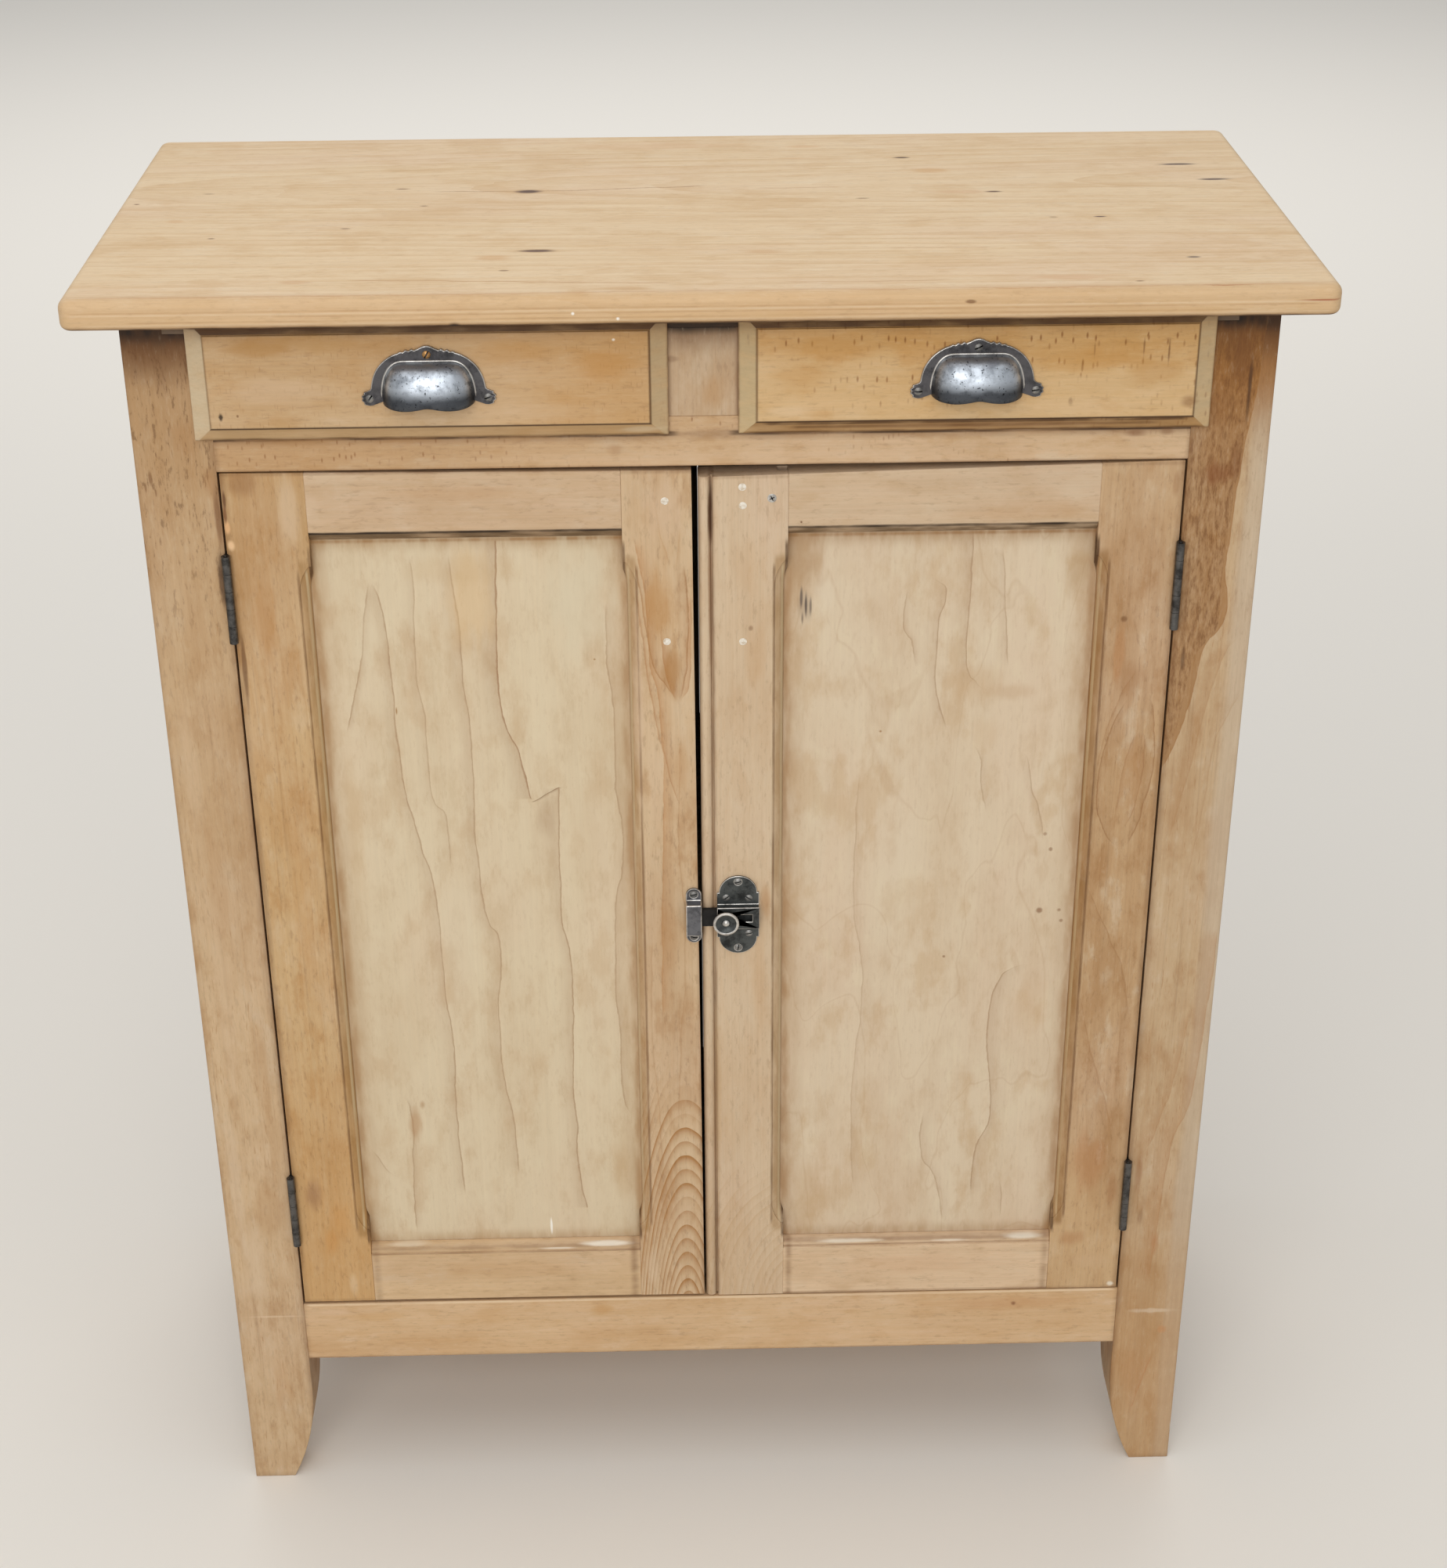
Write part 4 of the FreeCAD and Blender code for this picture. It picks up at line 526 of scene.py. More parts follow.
rightPostLook = {
    "seed": 3.0, "front": -183, "pale": (198, 169, 132), "deep": (164, 118, 70), "ringCentre": (520, 300),
    "ringSpacing": 8, "ring": 0.12, "cloud": 0.4, "vein": 0.18, "mottle": 0.4, "pores": 0.45, "speck": 0.2,
    "speckReach": (720, 900),
    "bands": [("x", 390, 400, 0.55, (198, 180, 156)), ("z", 330, 150, 0.42, (186, 138, 84)),
              # the 930 to 1025 band is the wood; the 1022 to 1056 and 1046 to 1062 bands are painted shade
              # under the top's overhang
              ("z", 930, 1025, 0.85, (152, 98, 36)), ("z", 1022, 1056, 0.65, (82, 46, 12)),
              ("z", 1046, 1062, 0.85, (48, 32, 18))],
    "lines": [
        {"points": [(1078, 401), (1010, 397), (950, 391), (931, 390), (901, 389), (871, 387), (845, 391),
                    (830, 389), (801, 374), (778, 372), (740, 364), (700, 350)], "side": -1, "fade": 140,
         "soft": 0.9, "strength": 0.72, "tone": (152, 102, 46)},
        {"points": [(1078, 401), (1010, 396), (931, 388), (871, 385), (830, 385), (801, 370), (740, 360),
                    (700, 346)], "side": -1, "fade": 160, "soft": 1.0, "strength": 0.5,
         "tone": (104, 58, 18), "fleck": 1.0},
        {"points": [(815, 413), (809, 396), (782, 387), (757, 382), (736, 379), (703, 374), (640, 362)],
         "side": -1, "fade": 18, "soft": 0.7, "strength": 0.45, "tone": (170, 126, 82)},
        {"points": [(770, 410), (746, 398), (714, 389), (681, 388), (600, 378)], "side": -1, "fade": 12,
         "strength": 0.35, "tone": (170, 128, 86)},
        {"points": [(560, 408), (470, 405), (394, 400), (344, 387), (287, 383), (199, 379)], "side": -1,
         "fade": 24, "soft": 0.7, "strength": 0.5, "tone": (172, 122, 74)},
        {"points": [(480, 392), (412, 384), (370, 375), (339, 365)], "side": -1, "fade": 14, "soft": 0.7,
         "strength": 0.4, "tone": (170, 120, 72)},
        {"points": [(125, 390), (90, 380), (50, 372)], "side": -1, "fade": 10, "strength": 0.45,
         "tone": (184, 126, 80)},
    ],
    # painted shadow at the top of the post, under the top
    "strips": [("z", 1072, 20, 1030, 1100, 0.95, (34, 22, 12))],
    # the first two entries are painted shade under the top; the others darken along the edges and at the
    # foot
    "dirtAndShade": [("z", 1076, 70, 0.8), ("z", 1076, 22, 0.85), ("x", 352, 7, 0.5), ("x", 410, 3, 0.2),
             ("z", 0, 8, 0.3)],
    "marks": [
        (384, 1032, 11, 28, 0.5, (112, 68, 32)), (373, 947, 13, 12, 0.6, (122, 64, 22)),
        (387, 955, 5, 18, 0.45, (120, 70, 34)), (392, 1010, 1.8, 28, 0.75, (66, 38, 20)),
        (370, 1000, 12, 20, 0.3, (134, 88, 46)), (361, 798, 2, 11, 0.6, (86, 56, 34)),
        (358, 850, 4, 40, 0.35, (120, 80, 44)), (412, 37, 3, 8, 0.9, (236, 230, 220)),
        (385, 169, 24, 3, 0.4, (228, 210, 186)), (394, 148, 5, 5, 0.5, (196, 136, 84)),
        (362, 320, 4, 24, 0.45, (150, 100, 62)), (366, 272, 3, 12, 0.4, (130, 88, 54)),
        (380, 243, 5, 14, 0.4, (180, 122, 76)), (370, 100, 12, 30, 0.35, (182, 134, 86)),
    ],
}
backPostLook = {
    "seed": 3.3, "pale": (203, 173, 134), "deep": (172, 130, 84), "ring": 0.25, "ringCentre": (0, 400),
    "ringStretch": 12, "cloud": 0.45, "vein": 0.12, "mottle": 0.4,
    "dirtAndShade": [("z", 1076, 40, 0.5), ("z", 0, 10, 0.4)],
}
dress(woodFinish("leftPostWood", **leftPostLook), "front_left_post")
dress(woodFinish("rightPostWood", **rightPostLook), "front_right_post")
dress(woodFinish("backPostWood", **backPostLook), "back_left_post", "back_right_post")

# Front rails and divider

midRailLook = {
    "grain": "x", "across": "z", "seed": 4.0, "pale": (209, 177, 139), "deep": (186, 144, 94),
    "pink": (212, 180, 148), "ring": 0.1, "ringCentre": (900, 0), "ringSpacing": 7, "cloud": 0.4,
    "dash": 0.6, "dashSize": (3.6, 1.4), "dashTone": (140, 86, 42), "mottle": 0.5, "streak": 0.1,
    "bands": [("x", 60, -260, 0.45, (178, 132, 80))],
    # the first entry is painted shade under the drawer lips; the others darken along the edges
    "dirtAndShade": [("z", 983, 8, 0.4), ("z", 959, 2.5, 0.6), ("x", -352, 5, 0.4), ("x", 352, 4, 0.4)],
    # painted shadow lines under the drawer lips
    "strips": [("z", 984, 2.6, -372, -16, 0.9, (66, 42, 22)), ("z", 984, 2.6, 16, 372, 0.9, (66, 42, 22))],
    "marks": [
        (985, -300, 7, 44, 0.45, (170, 124, 74)), (984, -215, 6, 34, 0.4, (174, 128, 78)),
        (985, -130, 7, 30, 0.35, (178, 134, 84)), (972, -64, 7, 9, 0.45, (166, 118, 68)),
        (980, 312, 4, 11, 0.6, (128, 82, 44)), (981, 335, 4, 7, 0.5, (128, 82, 44)),
        (984, 70, 6, 30, 0.25, (184, 138, 90)), (984, 240, 6, 60, 0.3, (186, 142, 94)),
        (966, 0, 6, 300, 0.25, (216, 186, 152)),
    ],
}
bottomRailLook = {
    "grain": "x", "across": "z", "seed": 4.6, "pale": (212, 178, 137), "deep": (194, 150, 100),
    "pink": (216, 182, 148), "ring": 0.1, "ringCentre": (900, 0), "ringSpacing": 7, "cloud": 0.45,
    "vein": 0.045, "mottle": 0.4, "wash": (222, 196, 164),
    # a pale line along the worn upper edge: wear with a painted highlight
    "strips": [("z", 193.5, 1.5, -352, 352, 0.7, (234, 208, 172))],
    "dirtAndShade": [("z", 135, 3, 0.6), ("z", 195, 2.5, 0.25), ("x", -352, 5, 0.25), ("x", 352, 5, 0.25)],
    "marks": [
        (180, -290, 8, 34, 0.35, (196, 150, 92)), (182, -95, 7, 13, 0.45, (192, 142, 80)),
        (178, -190, 9, 30, 0.25, (198, 152, 98)), (180, 250, 9, 80, 0.35, (194, 144, 98)),
        (180, 262, 3, 3, 0.7, (118, 66, 38)), (150, 100, 10, 120, 0.25, (222, 190, 154)),
        (186, -325, 5, 20, 0.3, (222, 192, 160)),
    ],
}
dividerLook = {
    "seed": 4.2, "pale": (196, 167, 134), "deep": (180, 142, 100), "pink": (200, 170, 142), "ring": 0.2,
    "ringCentre": (-260, 1000), "ringSpacing": 5, "cloud": 0.3, "vein": 0.068, "mottle": 0.4,
    # both bands are painted shade under the top's overhang
    "bands": [("z", 1040, 1062, 0.6, (104, 68, 38)), ("z", 1056, 1064, 0.94, (28, 20, 14))],
    "dirtAndShade": [("x", -25, 4, 0.4), ("x", 25, 4, 0.6)],
    "marks": [
        (8, 1014, 9, 16, 0.35, (184, 138, 84)), (-22, 1040, 6, 3, 0.35, "brown"),
    ],
}
# the top front rail, in shadow under the top, painted dark brown: painted shade
shadedRailLook = {"grain": "x", "across": "z", "pale": (62, 44, 28), "deep": (44, 30, 18),
                  "wash": (70, 50, 32), "seed": 3.6}
dress(woodFinish("midRailWood", **midRailLook), "mid_rail")
dress(woodFinish("shadedRailWood", **shadedRailLook), "top_front_rail")
dress(woodFinish("bottomRailWood", **bottomRailLook), "bottom_rail")
dress(woodFinish("dividerWood", **dividerLook), "drawer_divider")

# Drawer fronts

leftDrawerLook = {
    "grain": "x", "across": "z", "seed": 5.0, "pale": (202, 170, 130), "deep": (184, 142, 90), "ring": 0.05,
    "ringCentre": (1300, 0), "ringSpacing": 6, "cloud": 0.5, "vein": 0.03, "streak": 0.08, "dash": 0.25,
    "dashSize": (4, 0.9), "blotch": 0.35, "blotchTone": (186, 138, 80), "mottle": 0.35,
    "wash": (214, 188, 156),
    "bands": [("x", -220, -80, 0.4, (196, 148, 88)), ("z", 1026, 1062, 0.3, (188, 140, 78))],
    # the high side of the border is painted shade under the top; each side's third number is the strength
    # of the rim, a painted shadow line along the field's edge
    "frame": {"field": (-351, -38, 995, 1064),
              "sides": {"left": (0.75, (206, 188, 156), 0.3), "right": (0.75, (182, 160, 124), 0.6),
                        "low": (0.8, (176, 142, 98), 0.95), "high": (0.9, (66, 47, 29), 0)}},
    # a painted shadow line under the top, and a painted shade line along the lip's lower edge
    "strips": [("z", 1072, 5, -380, -10, 0.7, (58, 40, 24)),
               ("z", 985.5, 1.6, -362, -26, 0.7, (92, 62, 34))],
    # painted shade under the top, along the lip's lower edge and at its side
    "dirtAndShade": [("z", 1074, 22, 0.6), ("z", 1074, 8, 0.6), ("z", 985, 1.6, 0.6), ("x", -25, 2, 0.5)],
    "marks": [
        (1004, -343, 3.4, 1.8, 0.9, "black"), (1005, -331, 1.2, 1, 0.7, "brown"),
        (1058, -278, 9, 40, 0.4, (184, 136, 72)), (1040, -70, 18, 30, 0.45, (188, 132, 62)),
        (1056, -310, 9, 34, 0.5, (174, 124, 58)), (1022, -300, 14, 44, 0.45, (208, 178, 144)),
        (1050, -135, 12, 36, 0.4, (188, 136, 68)), (1006, -120, 8, 60, 0.3, (208, 176, 138)),
        (1054, -222, 8, 22, 0.35, (178, 130, 70)), (1058, -63, 1.0, 1.2, 0.8, (240, 228, 208)),
        (990, -45, 3, 20, 0.4, (208, 190, 160)),
    ],
}
rightDrawerLook = {
    "grain": "x", "across": "z", "seed": 6.0, "pale": (210, 175, 127), "deep": (194, 149, 88),
    "pink": (216, 184, 146), "ring": 0.1, "ringCentre": (1300, 0), "ringSpacing": 6, "cloud": 0.5,
    "vein": 0.018, "streak": 0.06, "dash": 0.8, "dashSize": (4.6, 1.6), "blotch": 0.4,
    "blotchTone": (190, 136, 68), "dashTone": (140, 88, 40), "mottle": 0.3, "wash": (220, 192, 152),
    "bands": [("z", 1022, 1062, 0.4, (194, 142, 72))],
    # the high side of the border is painted shade under the top; each side's third number is the strength
    # of the rim, a painted shadow line along the field's edge
    "frame": {"field": (38, 351, 995, 1064),
              "sides": {"left": (0.75, (184, 164, 126), 0.5), "right": (0.75, (188, 166, 130), 0.6),
                        "low": (0.85, (150, 110, 64), 0.95), "high": (0.9, (66, 47, 29), 0)}},
    # the first strip is a painted shadow line under the top and the last a painted shade line along the
    # lip's lower edge; the two between are residue in the lower bevel
    "strips": [("z", 1072, 5, 10, 380, 0.7, (58, 40, 24)), ("z", 993.5, 2.2, 40, 350, 0.8, (70, 42, 20)),
               ("z", 990, 1.6, 60, 330, 0.5, (92, 58, 28)), ("z", 985.5, 1.6, 26, 362, 0.7, (84, 54, 28))],
    # painted shade under the top, along the lip's lower edge and at its sides
    "dirtAndShade": [("z", 1074, 22, 0.6), ("z", 1074, 8, 0.6), ("z", 985, 1.6, 0.6), ("x", 25, 2, 0.5),
             ("x", 364, 2, 0.4)],
    "marks": [
        (1028, 322, 13, 28, 0.4, (182, 132, 66)), (1006, 347, 6, 8, 0.55, (126, 80, 38)),
        (1045, 330, 11, 1.1, 0.7, "brown"), (1047, 312, 8, 1.0, 0.6, "brown"),
        (1046, 277, 8, 1.0, 0.55, "brown"), (1035, 269, 6, 1.1, 0.6, "brown"),
        (1008, 262, 4, 2.2, 0.5, "brown"), (1050, 90, 12, 40, 0.45, (188, 134, 62)),
        (1028, 70, 14, 26, 0.35, (190, 138, 70)), (1040, 280, 14, 50, 0.35, (190, 136, 64)),
        (1004, 250, 7, 70, 0.35, (212, 180, 138)), (990, 200, 3, 120, 0.4, (112, 72, 38)),
        (1003, 60, 5, 20, 0.35, (222, 194, 156)),
    ],
}
dress(woodFinish("leftDrawerWood", **leftDrawerLook), "left_drawer_front")
dress(woodFinish("rightDrawerWood", **rightDrawerLook), "right_drawer_front")

# Door stiles

# parts of the moulding along a stile's inner edge: half width, from, to; the groove's dark is residue with
# painted shade, the crest's pale a painted highlight
mouldParts = {"slope": (6, 262, 892), "groove": (2, 255, 903), "edge": (1.4, 270, 884),
              "crest": (1.2, 270, 884)}


def mouldStrips(**parts):
    # each part given as (place, strength, colour)
    return [("x", at, *mouldParts[part], strength, paint) for part, (at, strength, paint) in parts.items()]


leftHingeStileLook = {
    "seed": 7.0, "speck": 0.22, "pale": (203, 169, 123), "deep": (178, 128, 70), "ringCentre": (-420, 500),
    "ringSpacing": 6, "cloud": 0.4, "vein": 0.14, "mottle": 0.45, "wash": (212, 186, 150),
    "bands": [("z", 460, 300, 0.5, (198, 150, 92)), ("z", 780, 900, 0.35, (172, 130, 82))],
    "dirtAndShade": [("x", -350, 6, 0.55), ("z", 198, 4, 0.3), ("z", 957, 3, 0.4)],
    "strips": mouldStrips(slope=(-295, 0.6, (148, 108, 56)), groove=(-290.4, 0.95, (86, 54, 24)),
                          edge=(-300, 0.6, (120, 84, 48)), crest=(-294, 0.5, (214, 196, 158))),
    "marks": [
        (-303, 926, 10, 34, 0.5, (214, 188, 156)), (-336, 950, 14, 12, 0.5, (146, 102, 62)),
        (-346, 800, 2.2, 40, 0.65, (96, 58, 28)), (-348.5, 938, 1.5, 9, 0.8, (92, 54, 28)),
        (-348, 916, 2.5, 6, 0.8, (226, 176, 126)), (-347, 902, 3, 5, 0.85, (236, 196, 150)),
        (-349, 926, 1.6, 7, 0.7, (112, 64, 30)), (-328, 840, 10, 50, 0.35, (178, 124, 66)),
        (-334, 313, 9, 20, 0.5, (140, 96, 66)), (-322, 262, 7, 16, 0.4, (198, 138, 68)),
        (-314, 285, 10, 24, 0.35, (200, 142, 74)), (-307, 215, 5, 14, 0.4, (222, 196, 160)),
        (-320, 600, 9, 90, 0.3, (190, 140, 80)),
    ],
}
leftMeetingStileLook = {
    "seed": 8.0, "speck": 0.2, "pale": (209, 180, 143), "deep": (170, 122, 72), "ring": 1.1,
    "ringCentre": (-20, 120), "ringStretch": 5.6, "ringSpacing": 2.5, "ringWarp": 2.2,
    "ringReach": (360, 450), "cloud": 0.35, "vein": 0.11,
    "lines": [
        {"points": [(905, -52), (892, -50), (863, -46), (802, -42), (768, -36), (700, -34), (600, -36),
                    (480, -38)], "side": 1, "fade": 13, "soft": 0.7, "strength": 0.6,
         "tone": (180, 124, 68)},
        {"points": [(830, -34), (806, -32), (790, -30), (776, -26), (766, -22)], "side": 1, "fade": 9,
         "soft": 0.8, "strength": 0.55, "tone": (172, 112, 56)},
        {"points": [(860, -11), (830, -11), (785, -13), (772, -18), (766, -22)], "side": -1, "fade": 9,
         "soft": 0.8, "strength": 0.5, "tone": (172, 112, 56)},
        {"points": [(945, -37), (910, -33), (890, -28), (875, -24)], "side": -1, "fade": 8, "strength": 0.4,
         "tone": (184, 138, 88)},
        {"points": [(915, -19), (891, -20), (875, -24)], "side": 1, "fade": 7, "strength": 0.35,
         "tone": (184, 138, 88)},
        {"points": [(888, -52), (844, -47), (802, -40), (775, -26), (768, -22)], "side": 1, "fade": 16,
         "strength": 0.6, "tone": (160, 108, 52)},
        {"points": [(884, -15), (831, -13), (790, -16), (768, -22)], "side": -1, "fade": 12,
         "strength": 0.6, "tone": (154, 102, 50)},
        {"points": [(864, -52), (794, -44), (743, -37), (700, -28), (676, -20)], "side": 1, "fade": 10,
         "strength": 0.5, "tone": (168, 112, 56)},
        {"points": [(740, -20), (640, -22), (560, -19), (450, -24), (380, -26)], "side": 1, "fade": 9,
         "strength": 0.4, "tone": (176, 130, 82)},
        {"points": [(560, -44), (480, -46), (400, -42), (330, -40)], "side": -1, "fade": 8,
         "strength": 0.35, "tone": (176, 130, 82)},
    ],
    "mottle": 0.4, "wash": (212, 188, 156),
    "dirtAndShade": [("x", -7, 4, 0.4), ("z", 955, 3, 0.4)],
    "strips": mouldStrips(slope=(-56, 0.55, (154, 114, 62)), groove=(-60.3, 0.95, (86, 54, 24)),
                          edge=(-50.7, 0.6, (124, 88, 52)), crest=(-57, 0.5, (212, 192, 156))),
    "marks": [
        (-33, 846, 13, 40, 0.55, (180, 126, 60)), (-26, 796, 9, 28, 0.65, (166, 112, 48)),
        (-20, 715, 9, 34, 0.35, (180, 130, 76)), (-52, 760, 5, 110, 0.4, (216, 188, 158)),
        (-30, 925, 18, 30, 0.4, (214, 186, 156)), (-40, 700, 8, 60, 0.35, (214, 186, 154)),
        (-30, 560, 12, 40, 0.25, (184, 136, 84)), (-33, 540, 24, 150, 0.25, (168, 128, 86)),
        (-50, 230, 6, 24, 0.4, (216, 190, 158)),
    ],
}
rightMeetingStileLook = {
    "seed": 9.0, "pale": (210, 185, 153), "deep": (192, 156, 116), "pink": (212, 184, 158), "ring": 0.5,
    "ringCentre": (78, 180), "ringStretch": 1.8, "ringSpacing": 5, "ringWarp": 4, "ringReach": (270, 360),
    "cloud": 0.3, "streak": 0.2, "vein": 0.072, "mottle": 0.3,
    "dirtAndShade": [("x", 6, 2.4, 0.5), ("x", -4, 3, 0.3), ("z", 950, 3, 0.3)],
    "strips": mouldStrips(slope=(56, 0.6, (150, 112, 60)), groove=(60.8, 0.95, (82, 54, 26)),
                          edge=(51.2, 0.65, (116, 84, 50)), crest=(57.5, 0.5, (210, 192, 154))),
    "marks": [
        (4, 921, 2.4, 32, 0.9, (88, 52, 24)), (4, 850, 2.2, 70, 0.5, (140, 90, 46)),
        (37, 805, 10, 30, 0.3, (190, 146, 98)), (34, 829, 2.4, 3, 0.5, "brown"),
        (30, 880, 12, 30, 0.2, (188, 146, 100)), (46, 590, 5, 20, 0.5, (176, 124, 70)),
        (6, 400, 4, 120, 0.3, (188, 150, 100)), (40, 520, 8, 60, 0.25, (194, 152, 106)),
    ],
}
rightHingeStileLook = {
    "seed": 10.0, "speck": 0.22, "pale": (192, 157, 116), "deep": (162, 116, 68), "pink": (202, 170, 142),
    "ringCentre": (420, 700), "ringSpacing": 8, "cloud": 0.6, "vein": 0.16,
    "bands": [("z", 860, 940, 0.35, (202, 170, 130)), ("z", 420, 260, 0.5, (210, 176, 132))],
    "mottle": 0.5,
    "dirtAndShade": [("x", 350, 6, 0.45), ("z", 196, 4, 0.4), ("z", 956, 3, 0.3)],
    "strips": mouldStrips(slope=(295, 0.7, (140, 98, 48)), groove=(290.4, 0.95, (80, 50, 22)),
                          edge=(300, 0.65, (112, 76, 42)), crest=(294, 0.5, (206, 180, 138))),
    "lines": [
        {"points": [(766, 323), (725, 307), (680, 303), (656, 308), (634, 326)], "side": 1, "fade": 9,
         "strength": 0.55, "tone": (140, 92, 48)},
        {"points": [(768, 324), (761, 340), (719, 345), (677, 341), (634, 328)], "side": -1, "fade": 9,
         "strength": 0.55, "tone": (140, 92, 48)},
        {"points": [(740, 330), (719, 338), (677, 334), (650, 324)], "side": -1, "fade": 7,
         "strength": 0.45, "tone": (150, 100, 56)},
        {"points": [(740, 330), (698, 321), (660, 318)], "side": 1, "fade": 7, "strength": 0.4,
         "tone": (150, 100, 56)},
        {"points": [(792, 328), (751, 310), (700, 300)], "side": 1, "fade": 6, "strength": 0.35,
         "tone": (156, 108, 62)},
        {"points": [(600, 300), (560, 318), (520, 334), (470, 342)], "side": -1, "fade": 12,
         "strength": 0.4, "tone": (150, 104, 60)},
        {"points": [(500, 300), (450, 312), (400, 326), (360, 338)], "side": -1, "fade": 10,
         "strength": 0.35, "tone": (154, 106, 62)},
    ],
    "marks": [
        (345, 940, 3, 12, 0.4, (150, 104, 62)), (314, 832, 3, 3, 0.65, "brown"),
        (322, 780, 13, 20, 0.5, (158, 110, 64)), (312, 800, 6, 30, 0.35, (180, 120, 66)),
        (330, 700, 10, 40, 0.35, (176, 130, 84)), (318, 330, 18, 34, 0.45, (178, 122, 74)),
        (308, 250, 14, 10, 0.4, (170, 116, 68)), (340, 300, 6, 26, 0.45, (158, 106, 62)),
        (325, 225, 18, 9, 0.3, (204, 172, 136)), (345, 200, 4, 3, 0.7, (236, 226, 206)),
    ],
}
dress(woodFinish("leftHingeStileWood", **leftHingeStileLook), "left_door_hinge_stile")
dress(woodFinish("leftMeetingStileWood", **leftMeetingStileLook), "left_door_meeting_stile")
dress(woodFinish("rightMeetingStileWood", **rightMeetingStileLook), "right_door_meeting_stile")
dress(woodFinish("rightHingeStileWood", **rightHingeStileLook), "right_door_hinge_stile")

# Door rails

doorRailLook = {
    "grain": "x", "across": "z", "deep": (186, 150, 108), "ring": 0.1, "ringCentre": (1200, 0),
    "ringSpacing": 5, "cloud": 0.3, "vein": 0.045, "mottle": 0.35,
}
topRailDirt = [("z", 957, 2.5, 0.5)]
# the top rail's moulding, facing down, and the line below it: dirt with painted shade
topRailStrips = [("z", 905, 7, -330, 330, 0.9, (96, 72, 44)),
                 ("z", 909.8, 1.8, -330, 330, 0.95, (44, 30, 18)),
                 ("z", 900, 3, -330, 330, 0.95, (44, 32, 20))]
lowRailDirt = [("z", 251, 4, 0.5), ("z", 247, 1.6, 0.6), ("z", 257, 2, 0.6), ("z", 197, 2.5, 0.5)]
leftTopRailLook = {
    **doorRailLook, "seed": 11.0, "pale": (205, 175, 141), "dirtAndShade": topRailDirt, "strips": topRailStrips,
    "marks": [
        (930, -290, 14, 12, 0.35, (214, 188, 158)), (940, -180, 8, 60, 0.25, (188, 144, 100)),
    ],
}
rightTopRailLook = {
    **doorRailLook, "seed": 11.4, "pale": (207, 180, 148), "dirtAndShade": topRailDirt, "strips": topRailStrips,
    "marks": [
        (914, 71, 1.2, 1.2, 0.9, "brown"), (920, 240, 9, 60, 0.3, (192, 150, 106)),
        (940, 110, 8, 40, 0.25, (216, 190, 160)),
    ],
}
leftLowRailLook = {
    **doorRailLook, "seed": 11.8, "pale": (217, 185, 144),
    "dirtAndShade": [*lowRailDirt, ("x", -66, 6, 0.5), ("x", -286, 6, 0.3)],
    "marks": [
        (228, -180, 12, 80, 0.3, (188, 144, 96)), (252, -90, 2.2, 26, 0.7, (244, 234, 216)),
        (249, -130, 1.2, 20, 0.6, (240, 228, 208)), (254, -260, 2, 20, 0.4, (236, 222, 198)),
    ],
}
rightLowRailLook = {
    **doorRailLook, "seed": 12.2, "pale": (220, 190, 155),
    "dirtAndShade": [*lowRailDirt, ("x", 66, 5, 0.5), ("x", 286, 6, 0.4)],
    "marks": [
        (225, 170, 12, 80, 0.25, (196, 150, 108)), (250, 120, 2, 36, 0.55, (240, 230, 210)),
        (251, 265, 2.4, 20, 0.65, (242, 232, 212)), (249, 205, 1.4, 24, 0.5, (238, 226, 206)),
    ],
}
dress(woodFinish("leftTopRailWood", **leftTopRailLook), "left_door_top_rail")
dress(woodFinish("rightTopRailWood", **rightTopRailLook), "right_door_top_rail")
dress(woodFinish("leftLowRailWood", **leftLowRailLook), "left_door_bottom_rail")
dress(woodFinish("rightLowRailWood", **rightLowRailLook), "right_door_bottom_rail")

# Door panels, with the growth lines of each

